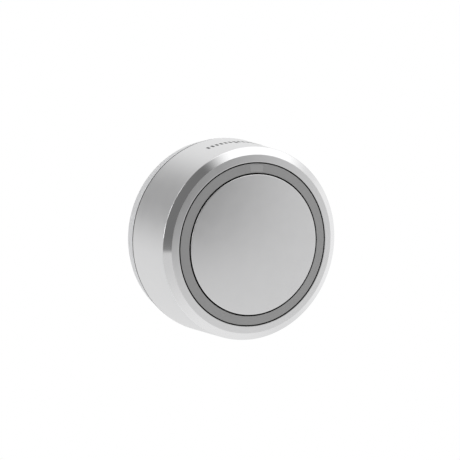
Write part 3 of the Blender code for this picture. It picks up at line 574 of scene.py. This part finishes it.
def make_materials():
    satin = (0.79, 0.79, 0.795)
    return {
        "housing_metal": satin_metal("housing_satin", satin, 0.30),
        "bevel": cut_metal("bevel_cut", (0.80, 0.80, 0.805), 0.09),
        "button_metal": satin_metal("button_satin", satin, 0.30),
        "ring_plastic": plastic("ring_smoked", (0.405, 0.405, 0.405), 0.42, 9000.0, 0.000002, 0.02),
        "ring_window": plastic("ring_window", (0.475, 0.475, 0.475), 0.40, 9000.0, 0.000002, 0.01),
        "plate_plastic": plastic("plate_grey", (0.785, 0.79, 0.80), 0.48, 3800.0, 0.000012, 0.015),
        # Painted shade: a near-black finish for walls deep in the grooves and gaps, where there is only shade
        "painted_shade": plastic("painted_shade", (0.012, 0.012, 0.013), 0.60, 6000.0, 0.000004, 0.15),
        "mark": plastic("mark_grey", (0.045, 0.045, 0.048), 0.55, 6000.0, 0.000004, 0.1),
        "white_plastic": plastic("white_moulded", (0.80, 0.80, 0.78), 0.42),
        "black_plastic": plastic("black_moulded", (0.022, 0.022, 0.024), 0.50, spread=0.12),
        "clear_plastic": clear_plastic("clear_moulded", (0.90, 0.92, 0.93), 0.16),
        "board": circuit_board("board_green", (0.012, 0.10, 0.045), (0.03, 0.21, 0.09), 0.34),
        "laminate": plastic("board_edge", (0.34, 0.36, 0.16), 0.60, 5200.0, 0.000010, 0.10),
        "phosphor": plastic("led_phosphor", (0.86, 0.72, 0.22), 0.35, 5200.0, 0.000004, 0.05),
        "rubber": rubber("seal_rubber", (0.030, 0.030, 0.032), 0.72),
        "foam": foam("pad_foam", (0.78, 0.78, 0.75), 0.92),
        "steel": plated_steel("plated_steel", (0.62, 0.62, 0.61), 0.28),
        "copper": plated_steel("enamelled_copper", (0.70, 0.33, 0.17), 0.32),
        "cell_jacket": cell_jacket("cell_jacket", (0.020, 0.022, 0.028)),
        "cell_band": plated_steel("cell_band", (0.62, 0.42, 0.18), 0.30),
    }


# Stage


def make_camera():
    """The camera, aimed so that the bevel's centre stands a little right of and below the middle."""
    a, e = CAMERA_AZIMUTH, CAMERA_ELEVATION
    target = Vector((0.0, -BEVEL_EDGE_DEPTH, 0.0))
    back = Vector((math.sin(a) * math.cos(e), -math.cos(a) * math.cos(e), math.sin(e)))
    right = Vector((math.cos(a), math.sin(a), 0.0))
    level = Matrix((right, back.cross(right), back))
    seen = Vector((math.tan(AIM_RIGHT), -math.tan(AIM_DOWN), -1.0)).normalized()
    aim = Vector((0.0, 0.0, -1.0)).rotation_difference(seen).to_matrix()
    data = bpy.data.cameras.new("camera")
    data.lens = CAMERA_LENS_MM
    data.clip_start = 0.01
    camera = bpy.data.objects.new("camera", data)
    turned = (aim @ level).transposed().to_4x4()
    camera.matrix_world = Matrix.Translation(target + back * CAMERA_DISTANCE) @ turned
    bpy.context.scene.collection.objects.link(camera)
    bpy.context.scene.camera = camera
    bpy.context.scene.view_settings.view_transform = "Standard"


def toward(azimuth, elevation):
    """The unit vector towards this azimuth (0 is -Y, positive towards +X) and elevation, in degrees."""
    a, e = math.radians(azimuth), math.radians(elevation)
    return Vector((math.sin(a) * math.cos(e), -math.cos(a) * math.cos(e), math.sin(e)))


# The studio round the object. Each soft area is painted over those before it, as
# (azimuth, elevation, angle up to which it is full, angle where it ends, brightness).
SURROUND_LEVEL = 0.68
SURROUNDINGS = (
    (160.0, 18.0, 10.0, 42.0, 0.93),
    (-151.0, 19.0, 6.0, 38.0, 0.38),
    (-25.0, 25.0, 27.0, 71.0, 0.195),
    (-92.0, 8.0, 4.0, 11.0, 3.6),
    (-91.0, 27.0, 4.0, 11.0, 3.2),
    (-92.0, 46.0, 4.0, 11.0, 2.2),
    (72.0, 60.0, 24.0, 48.0, 1.31),
    (0.0, -90.0, 79.0, 82.0, 0.72),
    (0.0, -90.0, 20.0, 75.0, 0.94),
    (-178.0, -24.0, 28.0, 47.0, 0.84),
    (93.0, -8.0, 15.0, 43.0, 1.00),
)


def make_world():
    """White to the camera. To the object, soft bright and dark areas as in a studio tent."""
    world = bpy.data.worlds.new("studio")
    bpy.context.scene.world = world
    world.use_nodes = True
    tree = world.node_tree
    background = tree.nodes["Background"]
    direction = tree.nodes.new("ShaderNodeTexCoord").outputs["Generated"]

    def blend(factor, first, second):
        node = tree.nodes.new("ShaderNodeMix")
        for key, value in ((0, factor), (2, first), (3, second)):
            if isinstance(value, bpy.types.NodeSocket):
                tree.links.new(value, node.inputs[key])
            else:
                node.inputs[key].default_value = value
        return node.outputs[0]

    level = SURROUND_LEVEL
    for azimuth, elevation, full, end, brightness in SURROUNDINGS:
        dot = tree.nodes.new("ShaderNodeVectorMath")
        dot.operation = "DOT_PRODUCT"
        tree.links.new(direction, dot.inputs[0])
        dot.inputs[1].default_value = toward(azimuth, elevation)
        angle = tree.nodes.new("ShaderNodeMath")
        angle.operation = "ARCCOSINE"
        tree.links.new(dot.outputs["Value"], angle.inputs[0])
        area = tree.nodes.new("ShaderNodeMapRange")
        area.interpolation_type = "SMOOTHSTEP"
        tree.links.new(angle.outputs[0], area.inputs["Value"])
        area.inputs["From Min"].default_value = math.radians(full)
        area.inputs["From Max"].default_value = math.radians(end)
        area.inputs["To Min"].default_value = 1.0
        area.inputs["To Max"].default_value = 0.0
        level = blend(area.outputs["Result"], level, brightness)
    camera_ray = tree.nodes.new("ShaderNodeLightPath").outputs["Is Camera Ray"]
    tree.links.new(blend(camera_ray, level, 1.0), background.inputs["Strength"])
    background.inputs["Color"].default_value = (1.0, 1.0, 1.0, 1.0)


def make_floor():
    """A plain white floor below the object, which only the camera sees."""
    bm = bmesh.new()
    down = Matrix.Translation((0.0, 0.0, -FLOOR_DROP))
    bmesh.ops.create_circle(bm, cap_ends=True, segments=FLOOR_SEGMENTS, radius=FLOOR_RADIUS, matrix=down)
    white = bpy.data.materials.new("floor_white")
    white.use_nodes = True
    tree = white.node_tree
    tree.nodes.remove(tree.nodes["Principled BSDF"])
    glow = tree.nodes.new("ShaderNodeEmission")
    tree.links.new(glow.outputs["Emission"], tree.nodes["Material Output"].inputs["Surface"])
    floor = make_object("floor", bm, [white])
    floor.visible_glossy = False
    floor.visible_diffuse = False
    floor.visible_shadow = False
    floor.visible_transmission = False


# Front: housing, light ring and button


def make_housing(mats):
    """The turned metal shell: drafted side, bright bevel and domed rim, with broken edges."""
    outline = [(SEAM_RADIUS, SEAM_DEPTH), (FRONT_RADIUS, BEVEL_EDGE_DEPTH)]
    outline += dome(RIM_OUTER, RIM_INNER, RIM_STEPS)
    outline += [(RIM_INNER, LIP_BACK), (INNER_FRONT, LIP_BACK)]
    outline += [(INNER_FRONT, RING_BACK), (INNER_BACK, SEAM_DEPTH)]
    breaks = {0: SEAM_BREAK, 1: BEVEL_EDGE_BREAK, 2: BEVEL_BREAK, 2 + RIM_STEPS: RIM_BREAK}
    breaks[len(outline) - 1] = SEAM_BREAK
    profile = fillet(outline, breaks)

    # Slot 2 is painted shade: near-black on the rim's inner wall down the groove and on the back face at the
    # seam
    def slot_of(radius, depth):
        if radius > RIM_OUTER + BEVEL_BREAK and depth > BEVEL_EDGE_DEPTH - BEVEL_EDGE_BREAK / 3:
            return 1
        groove = abs(radius - RIM_INNER) < SAME and depth < dome_depth(RIM_INNER) - RIM_BREAK
        seam = depth < SEAM_DEPTH + SAME and radius < SEAM_RADIUS - SEAM_BREAK
        return 2 if groove or seam else 0

    finishes = [mats["housing_metal"], mats["bevel"], mats["painted_shade"]]
    shell = make_object("housing_shell", turn(profile, slot_of=slot_of), finishes)
    pocket = depths("front_housing", INNER_BACK)
    for angle in SNAP_ANGLES:
        half = SNAP_POCKET_HALF_DEG
        shape = sector(INNER_FRONT - 2 * OVERLAP, INNER_FRONT + SNAP_POCKET_REACH, angle - half, angle + half,
                       pocket[1], pocket[-1])
        combine(shell, shape, "DIFFERENCE")
    smooth(shell)
    place(shell, "housing_metal", "front_housing")


def make_index_marks(mats):
    """A plain printed scale of ticks on top of the housing's side, the middle one longer."""
    slope = (SEAM_RADIUS - FRONT_RADIUS) / (BEVEL_EDGE_DEPTH - SEAM_DEPTH)
    bm = bmesh.new()
    middle = MARK_COUNT // 2
    for i in range(MARK_COUNT):
        tall = MIDDLE_MARK if i == middle else 1.0
        half_wide = MARK_SIZE[0] / 2 / SEAM_RADIUS
        angle = math.radians(90.0 + MARK_STEP_DEG * (i - middle))
        ends = (MARK_DEPTH, MARK_DEPTH + MARK_SIZE[1] * tall)
        loops = []
        for lift in (-MARK_RELIEF, MARK_RELIEF):
            loop = []
            for side, depth in ((-1, ends[0]), (1, ends[0]), (1, ends[1]), (-1, ends[1])):
                radius = SEAM_RADIUS - slope * (depth - SEAM_DEPTH) + lift
                a = angle + side * half_wide
                loop.append(bm.verts.new((radius * math.cos(a), -depth, radius * math.sin(a))))
            loops.append(loop)
        bm.faces.new(loops[0])
        bm.faces.new(loops[1])
        for j in range(4):
            k = (j + 1) % 4
            bm.faces.new((loops[0][j], loops[0][k], loops[1][k], loops[1][j]))
    marks = make_object("index_marks", bm, [mats["mark"]])
    place(marks, "housing_metal", body="housing")


def make_ring(mats):
    """The smoked light ring, with a slightly paler, faintly sunk window near the top."""
    outline = [(RING_INNER, RING_BACK), (RING_FLANGE, RING_BACK), (RING_FLANGE, RING_FLANGE_FRONT)]
    outline += [(RING_OUTER, RING_FLANGE_FRONT), *dome(RING_OUTER, RING_INNER, RING_STEPS, RING_RECESS)]
    front = dome_depth(RING_OUTER) - RING_RECESS - RING_BREAK

    # Slot 2 is painted shade: near-black on the ring's side walls inside the grooves
    def slot_of(radius, depth):
        wall = abs(radius - RING_INNER) < SAME or abs(radius - RING_OUTER) < SAME
        return 2 if wall and depth < front else 0

    bm = turn(fillet(outline, {4: RING_BREAK, 4 + RING_STEPS: RING_BREAK}), slot_of=slot_of)
    window = []
    for face in bm.faces:
        centre = face.calc_center_median()
        radius = math.hypot(centre.x, centre.z)
        angle = math.degrees(math.atan2(centre.z, centre.x))
        within = RING_INNER + WINDOW_MARGIN < radius < RING_OUTER - WINDOW_MARGIN
        if within and face.normal.y < -FACING and WINDOW_DEG[0] < angle < WINDOW_DEG[1]:
            window.append(face)
    bmesh.ops.inset_region(bm, faces=window, thickness=WINDOW_BORDER, depth=-WINDOW_SINK,
                           use_even_offset=True)
    for face in window:
        face.material_index = 1
    ring = make_object("ring_lens", bm, [mats["ring_plastic"], mats["ring_window"], mats["painted_shade"]])
    place(ring, "ring_plastic", "light_ring")


def make_cap(mats):
    """The domed button, its edge finely rounded."""
    skirt_inner = radii("button_cap", CAP_BACK)[0]
    wall = DOME_TOP - depths("button_cap", 0.0)[0]
    outline = [*dome(0.0, CAP_RADIUS, CAP_STEPS), (CAP_RADIUS, CAP_BACK), (skirt_inner, CAP_BACK)]
    outline += dome(skirt_inner, 0.0, CAP_STEPS // 2, wall)
    profile = fillet(outline, {CAP_STEPS: CAP_BREAK, CAP_STEPS + 1: SMALL_BREAK})

    # Slot 1 is painted shade: near-black on the button's side wall down the inner groove
    def slot_of(radius, depth):
        wall = abs(radius - CAP_RADIUS) < SAME
        return 1 if wall and depth < dome_depth(CAP_RADIUS) - 2 * CAP_BREAK else 0

    finishes = [mats["button_metal"], mats["painted_shade"]]
    cap = make_object("button_face", turn(profile, slot_of=slot_of), finishes)
    place(cap, "button_metal", "button_cap")


# Back: wall plate and pads


def make_plate(mats):
    """The moulded wall plate, with its bayonet tabs and stops, screw slots and pad recesses."""
    skirt_inner = radii("wall_plate", PLATE_DEPTH)[-2]
    flat_radius = radii("wall_plate", 0.0)[-1]
    edge_radius, edge_depth = min((r, d) for r, d in corners("wall_plate") if r > flat_radius + SEAT)
    floor_depth = depths("wall_plate", skirt_inner)[0]
    outline = [(0.0, 0.0), (LAND_GROOVE[0], 0.0), (LAND_GROOVE[0], LAND_GROOVE_DEPTH)]
    outline += [(LAND_GROOVE[1], LAND_GROOVE_DEPTH), (LAND_GROOVE[1], 0.0)]
    outline += [(flat_radius, 0.0), (edge_radius, edge_depth)]
    step_radius, step_depth = PLATE_RADIUS - REBATE[0], PLATE_DEPTH - REBATE[1]
    outline += [(PLATE_RADIUS, step_depth), (step_radius, step_depth), (step_radius, PLATE_DEPTH)]
    outline += [(skirt_inner, PLATE_DEPTH), (skirt_inner, floor_depth), (0.0, floor_depth)]
    profile = fillet(outline, {5: edge_depth / 2, 6: edge_depth, 7: SEAM_BREAK})

    # Slot 1 is painted shade: near-black on the plate's front face and rebate step, in the gap behind the
    # housing
    def slot_of(radius, depth):
        front = depth > step_depth - SEAM_BREAK / 3
        return 1 if front and skirt_inner < radius < PLATE_RADIUS - SEAM_BREAK / 3 else 0

    finishes = [mats["plate_plastic"], mats["painted_shade"]]
    plate = make_object("plate_shell", turn(profile, slot_of=slot_of), finishes)
    tab_inner = skirt_inner - TAB_REACH
    tab_front = PLATE_DEPTH - SEAT
    tab_back = tab_front - TAB_THICKNESS
    for angle in BAYONET_ANGLES:
        locked_stop = angle - LUG_HALF_DEG - STOP_GAP_DEG - STOP_DEG
        free_stop = angle + LUG_HALF_DEG + UNLOCK_DEG + STOP_GAP_DEG
        tab_end = angle + LUG_HALF_DEG + STOP_GAP_DEG
        tab = sector(tab_inner, skirt_inner + OVERLAP, locked_stop, tab_end, tab_back, tab_front)
        combine(plate, tab, "UNION")
        for stop in (locked_stop, free_stop):
            shape = sector(tab_inner, skirt_inner + OVERLAP, stop, stop + STOP_DEG, floor_depth - OVERLAP,
                           tab_back + OVERLAP)
            combine(plate, shape, "UNION")
    for side, long_x in ((1, False), (-1, True)):
        for grow, back, front in ((0.0, -OVERLAP, floor_depth + OVERLAP),
                                  (HEAD_POCKET, floor_depth - HEAD_POCKET_DEPTH, floor_depth + OVERLAP)):
            long, short = SCREW_SLOT_LENGTH + grow, SCREW_SLOT_WIDTH + grow
            size = (long, short) if long_x else (short, long)
            outline = rounded_rectangle(*size, short / 2 - SLOT_END_FLAT, (0.0, side * SCREW_SLOT_OFFSET))
            combine(plate, prism(outline, back, front), "DIFFERENCE")
    for node in ("adhesive_pad_right", "adhesive_pad_left"):
        low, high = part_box(node)
        centre = ((low.x + high.x) / 2, (low.z + high.z) / 2)
        size = (high.x - low.x + 2 * SEAT, high.z - low.z + 2 * SEAT)
        outline = rounded_rectangle(*size, PAD_CORNER, centre)
        combine(plate, prism(outline, -OVERLAP, SEAT - low.y), "DIFFERENCE")
    for angle in EJECTOR_ANGLES:
        centre = arc(EJECTOR_CIRCLE, angle, angle, 1)[0]
        combine(plate, disc(EJECTOR_RADIUS, -OVERLAP, EJECTOR_DEPTH, centre), "DIFFERENCE")
    half, tall = ARROW_SIZE[0] / 2, ARROW_SIZE[1] / 2
    arrow = [(-half, ARROW_CENTRE - tall), (half, ARROW_CENTRE - tall), (0.0, ARROW_CENTRE + tall)]
    combine(plate, prism(arrow, -OVERLAP, ARROW_DEPTH), "DIFFERENCE")
    inner, outer = GATE_RADII
    outline = [(inner, -OVERLAP), (outer, -OVERLAP), (outer, GATE_DEPTH), (inner, GATE_DEPTH)]
    combine(plate, turn(outline, SMALL_SEGMENTS), "DIFFERENCE")
    smooth(plate)
    place(plate, "plate_plastic", "wall_plate")


def make_pads(mats):
    """The foam pads, with soft edges."""
    for node, name in (("adhesive_pad_right", "foam_pad_right"), ("adhesive_pad_left", "foam_pad_left")):
        low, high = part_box(node)
        centre = ((low.x + high.x) / 2, (low.z + high.z) / 2)
        size = (high.x - low.x, high.z - low.z)
        outline = rounded_rectangle(*size, PAD_CORNER - SEAT, centre)
        pad = make_object(name, prism(outline, -high.y, -low.y), [mats["foam"]])
        round_edges(pad, PAD_BREAK, 3)
        place(pad, "foam", node)


# Inside


def section(node, centre=(0.0, 0.0)):
    """The (radius, depth) points round the section of a CAD node that is turned about an axis along Y,
    read along its edges in the half-plane towards +X."""
    mesh = frame["nodes"][node].data
    points = {}
    for i, vertex in enumerate(mesh.vertices):
        x, z = vertex.co.x - centre[0], vertex.co.z - centre[1]
        if abs(z) < 2 * SAME and x > -2 * SAME:
            points[i] = (round(max(x, 0.0), 6), round(-vertex.co.y, 6))
    neighbours = {}
    for edge in mesh.edges:
        first, second = (points.get(i) for i in edge.vertices)
        if first and second and first != second:
            neighbours.setdefault(first, set()).add(second)
            neighbours.setdefault(second, set()).add(first)
    ends = [p for p, near in neighbours.items() if len(near) == 1]
    path = [min(ends or neighbours)]
    onward = sorted(neighbours[path[0]])
    while onward:
        path.append(onward[0])
        onward = sorted(neighbours[path[-1]] - set(path))
    if ends and path[0][0] > 0.0:
        path.insert(0, (0.0, path[0][1]))
    if ends and path[-1][0] > 0.0:
        path.append((0.0, path[-1][1]))
    return path


def refine(node, name, material, slot, edge=SMALL_BREAK, segments=INNER_SEGMENTS):
    """A finer version of a turned CAD node, with broken edges."""
    low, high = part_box(node)
    centre = ((low.x + high.x) / 2, (low.z + high.z) / 2)
    outline = section(node, centre)
    profile = fillet(outline, {i: edge for i, point in enumerate(outline) if point[0] > SAME}, 3)
    bm = turn(profile, segments)
    bmesh.ops.translate(bm, verts=bm.verts, vec=(centre[0], 0.0, centre[1]))
    return place(make_object(name, bm, [material]), slot, node)


def make_seals(mats):
    """The two O-rings, of round section."""
    for node, name in (("front_seal", "front_o_ring"), ("rear_seal", "rear_o_ring")):
        low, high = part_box(node)
        thick = (high.y - low.y) / math.sqrt(3)
        middle_depth = -(low.y + high.y) / 2
        profile = arc(thick, 0.0, 360.0, 16, (high.x - thick, middle_depth))[:-1]
        place(make_object(name, turn(profile, INNER_SEGMENTS), [mats["rubber"]]), "rubber", node)


def centre_of(node):
    """The middle of a CAD node's box."""
    low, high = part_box(node)
    return (low + high) / 2


def upright(node, name, materials, slot, outline, breaks, slot_of=None):
    """A piece turned about an axis along Y through the middle of its node's box."""
    middle = centre_of(node)
    bm = turn(fillet(outline, breaks, 3), SMALL_SEGMENTS, slot_of)
    bmesh.ops.translate(bm, verts=bm.verts, vec=(middle.x, 0.0, middle.z))
    return place(make_object(name, bm, materials), slot, node)


def worked(node, name, materials, slot, edge, slot_of=None):
    """A CAD node's own shape, its facets joined into whole faces and its edges finely rounded.
    slot_of gives a face's material slot from its normal."""
    source = frame["nodes"][node]
    bm = bmesh.new()
    bm.from_mesh(source.data)
    bm.transform(source.matrix_world)
    bmesh.ops.remove_doubles(bm, verts=bm.verts, dist=SAME)
    bmesh.ops.dissolve_limit(bm, angle_limit=math.radians(FLAT_DEG), verts=bm.verts, edges=bm.edges)
    bmesh.ops.recalc_face_normals(bm, faces=bm.faces)
    for face in bm.faces:
        face.material_index = slot_of(face.normal) if slot_of else 0
    made = make_object(name, bm, materials)
    if edge:
        round_edges(made, edge)
    return place(made, slot, node)


def wind(node, name, material, slot, axis, turns, wire, taper=(1.0, 1.0)):
    """A wire wound along X (0) or Y (1) inside its node's box, with closed end turns. taper gives its
    radius at the lower and the upper end of the axis, as shares of the widest."""
    low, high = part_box(node)
    middle = (low + high) / 2
    widest = (high.z - low.z) / 2 - wire
    first, last = low[axis] + wire, high[axis] - wire
    across = Vector((0.0, 1.0, 0.0)) if axis == 0 else Vector((1.0, 0.0, 0.0))
    up = Vector((0.0, 0.0, 1.0))
    along = Vector((1.0, 0.0, 0.0)) if axis == 0 else Vector((0.0, 1.0, 0.0))
    open_rise = (last - first - 4 * CLOSED_TURNS * wire) / (turns - 2 * CLOSED_TURNS)
    count = turns * WIRE_STEPS
    bm = bmesh.new()
    loops = []
    for i in range(count + 1):
        done = i / WIRE_STEPS
        wound = min(done, CLOSED_TURNS) + max(0.0, done - turns + CLOSED_TURNS)
        place_along = first + 2 * wire * wound + open_rise * (done - wound)
        radius = widest * (taper[0] + (taper[1] - taper[0]) * done / turns)
        angle = math.tau * done
        spoke = across * math.cos(angle) + up * math.sin(angle)
        onward = up * math.cos(angle) - across * math.sin(angle)
        side = onward.cross(spoke).normalized()
        core = middle + spoke * radius + along * (place_along - middle[axis])
        sides = [math.tau * j / WIRE_SIDES for j in range(WIRE_SIDES)]
        loops.append([bm.verts.new(core + (spoke * math.cos(b) + side * math.sin(b)) * wire) for b in sides])
    for one, other in zip(loops, loops[1:]):
        for j in range(WIRE_SIDES):
            k = (j + 1) % WIRE_SIDES
            bm.faces.new((one[j], one[k], other[k], other[j]))
    bm.faces.new(loops[0])
    bm.faces.new(loops[-1])
    return place(make_object(name, bm, [material], WIRE_SHARP_DEG), slot, node)


def make_button_parts(mats):
    """The carrier under the cap, the return spring and the switch's plunger."""
    refine("button_carrier", "carrier_moulding", mats["white_plastic"], "white_plastic")
    spring = wind("return_spring", "button_spring", mats["steel"], "steel", 1, SPRING_TURNS, SPRING_WIRE)
    low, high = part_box("return_spring")
    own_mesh(spring)
    for node, name, slot in (("switch_plunger", "tact_plunger", "white_plastic"),
                             ("pairing_plunger", "pairing_pin", "black_plastic")):
        low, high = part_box(node)
        radius = (high.x - low.x) / 2
        outline = [(0.0, -high.y), (radius, -high.y), (radius, -low.y), (0.0, -low.y)]
        upright(node, name, [mats[slot]], slot, outline, {1: SMALL_BREAK, 2: SMALL_BREAK})
    refine("pairing_button", "pairing_key", mats["white_plastic"], "white_plastic", segments=SMALL_SEGMENTS)


def make_board_parts(mats):
    """The board and what is soldered to it."""
    def flat(normal):
        return 0 if abs(normal.y) > FACING else 1

    def front(normal):
        return 1 if normal.y < -FACING else 0

    worked("circuit_board", "board", [mats["board"], mats["laminate"]], "board", BOARD_BREAK, flat)
    worked("radio_module", "radio_can", [mats["steel"]], "steel", RADIO_BREAK)
    worked("microcontroller", "controller_package", [mats["black_plastic"]], "black_plastic", PACKAGE_BREAK)
    worked("crystal", "crystal_can", [mats["steel"]], "steel", CRYSTAL_BREAK)
    finishes = [mats["black_plastic"], mats["steel"]]
    worked("tactile_switch", "tact_body", finishes, "black_plastic", PACKAGE_BREAK, front)
    worked("pairing_switch", "pairing_body", [mats["black_plastic"]], "black_plastic", KEY_SWITCH_BREAK)
    finishes = [mats["white_plastic"], mats["phosphor"]]
    for number in range(1, 7):
        worked(f"led_{number}", f"led_package_{number}", finishes, "white_plastic", SHEET_BREAK, front)
    low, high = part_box("capacitor")
    radius = (high.x - low.x) / 2
    base, top = -low.y, -high.y
    neck = base - (base - top) * CAN_NECK
    groove, half_wide = CAN_NECK_SIZE
    outline = [(0.0, base), (radius, base), (radius, neck), (radius - groove, neck - half_wide)]
    outline += [(radius, neck - 2 * half_wide), (radius, top), (0.0, top)]
    upright("capacitor", "capacitor_can", [mats["cell_jacket"]], "cell_jacket", outline, CAN_BREAKS)
    wind("antenna_coil", "antenna_wire", mats["copper"], "copper", 0, ANTENNA_TURNS, ANTENNA_WIRE)


def make_cells(mats):
    """The two cells: film jacket with a plain band, crimped edges and bare steel ends."""
    finishes = [mats["cell_jacket"], mats["cell_band"], mats["steel"]]
    for node, name, side in (("battery_1", "cell_upper", 1), ("battery_2", "cell_lower", -1)):
        low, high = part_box(node)
        middle = (low + high) / 2
        length = high.x - low.x
        body = length - BATTERY_NUB_LENGTH
        radius = (high.y - low.y) / 2
        crimp = radius - CELL_CRIMP
        band_from, band_to = (length * share for share in CELL_BAND)
        turned_in, turned_along = CELL_ROUND
        edge, end = radius - turned_in, body - CELL_END_STEP
        outline = [(0.0, 0.0), (crimp - CELL_SLOPE, 0.0), (crimp, BATTERY_SHOULDER / 3)]
        outline += [(edge, turned_along), (radius, BATTERY_SHOULDER), (radius, band_from), (radius, band_to)]
        outline += [(radius, body - BATTERY_SHOULDER), (edge, body - turned_along), (crimp, end)]
        outline += [(BATTERY_NUB_RADIUS, end), (BATTERY_NUB_RADIUS, length), (0.0, length)]

        def slot_of(distance, place_along):
            if distance < crimp:
                return 2
            return 1 if band_from < place_along < band_to else 0

        breaks = {4: CELL_BREAK, 7: CELL_BREAK, 8: CELL_CRIMP_BREAK, 11: CELL_NUB_BREAK}
        bm = turn(fillet(outline, breaks, 3), SMALL_SEGMENTS, slot_of)
        start = low.x if side == 1 else high.x
        turned = Matrix(((0.0, -side, 0.0), (side, 0.0, 0.0), (0.0, 0.0, 1.0))).to_4x4()
        bm.transform(Matrix.Translation((start, middle.y, middle.z)) @ turned)
        place(make_object(name, bm, finishes), "cell_jacket", node)


def make_contacts(mats):
    """The sheet contacts and the two cone springs at the cells' negative ends."""
    for node, name in (("bridge_contact", "bridge_strip"), ("positive_contact", "positive_strip"),
                       ("negative_contact", "negative_strip")):
        worked(node, name, [mats["steel"]], "steel", SHEET_BREAK)
    for node, name, taper in (("bridge_spring", "bridge_cone", (1.0, CONE_TOP)),
                              ("negative_spring", "negative_cone", (CONE_TOP, 1.0))):
        wind(node, name, mats["steel"], "steel", 0, CONTACT_SPRING_TURNS, CONTACT_SPRING_WIRE, taper)


def make_screws(mats):
    """The chassis screws: cross recess, domed head and a thread of fine ridges."""
    for number in range(1, 4):
        node = f"chassis_screw_{number}"
        low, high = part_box(node)
        middle = (low + high) / 2
        back, tip = -high.y, -low.y
        head = (high.x - low.x) / 2
        seat = back + SCREW_HEAD_HEIGHT
        root = SCREW_RADIUS - THREAD_DEPTH
        outline = [(0.0, back), (head * SCREW_CROWN, back)]
        outline += [(head, back + SCREW_HEAD_HEIGHT * SCREW_CROWN_HEIGHT), (head, seat)]
        outline += [(root, seat), (root, seat + THREAD_PITCH)]
        ridges = int((tip - seat - 3 * THREAD_PITCH) / THREAD_PITCH)
        for ridge in range(ridges):
            start = seat + THREAD_PITCH * (1.0 + ridge)
            outline += [(SCREW_RADIUS, start + THREAD_PITCH * THREAD_CREST), (root, start + THREAD_PITCH)]
        outline += [(root * SCREW_TIP, tip), (0.0, tip)]
        screw = upright(node, f"screw_{number}", [mats["steel"]], "steel", outline, SCREW_BREAKS)
        long, short = RECESS_LENGTH / 2, RECESS_WIDTH / 2
        cross = []
        for turns in range(4):
            for x, z in ((long, -short), (long, short), (short, short)):
                for _ in range(turns):
                    x, z = -z, x
                cross.append((middle.x + x, middle.z + z))
        combine(screw, prism(cross, back - OVERLAP, back + RECESS_DEPTH), "DIFFERENCE")
        smooth(screw)


def make_mouldings(mats):
    """The clear light guide, the inner frame and the rear chassis."""
    refine("light_guide", "guide_ring", mats["clear_plastic"], "clear_plastic")
    worked("inner_frame", "frame_moulding", [mats["white_plastic"]], "white_plastic", 0.0)
    worked("rear_chassis", "chassis_moulding", [mats["black_plastic"]], "black_plastic", 0.0)


def finish_nodes(mats):
    """Gives every CAD node that still shows its slot's material."""
    for entry in frame["record"]["subparts"]:
        node = frame["nodes"][entry["node"]]
        node.data.materials.clear()
        node.data.materials.append(mats[entry["material_slot"]])


make_camera()
make_world()
make_floor()
materials = make_materials()
make_housing(materials)
make_index_marks(materials)
make_ring(materials)
make_cap(materials)
make_plate(materials)
make_pads(materials)
make_seals(materials)
make_button_parts(materials)
make_board_parts(materials)
make_cells(materials)
make_contacts(materials)
make_screws(materials)
make_mouldings(materials)
finish_nodes(materials)
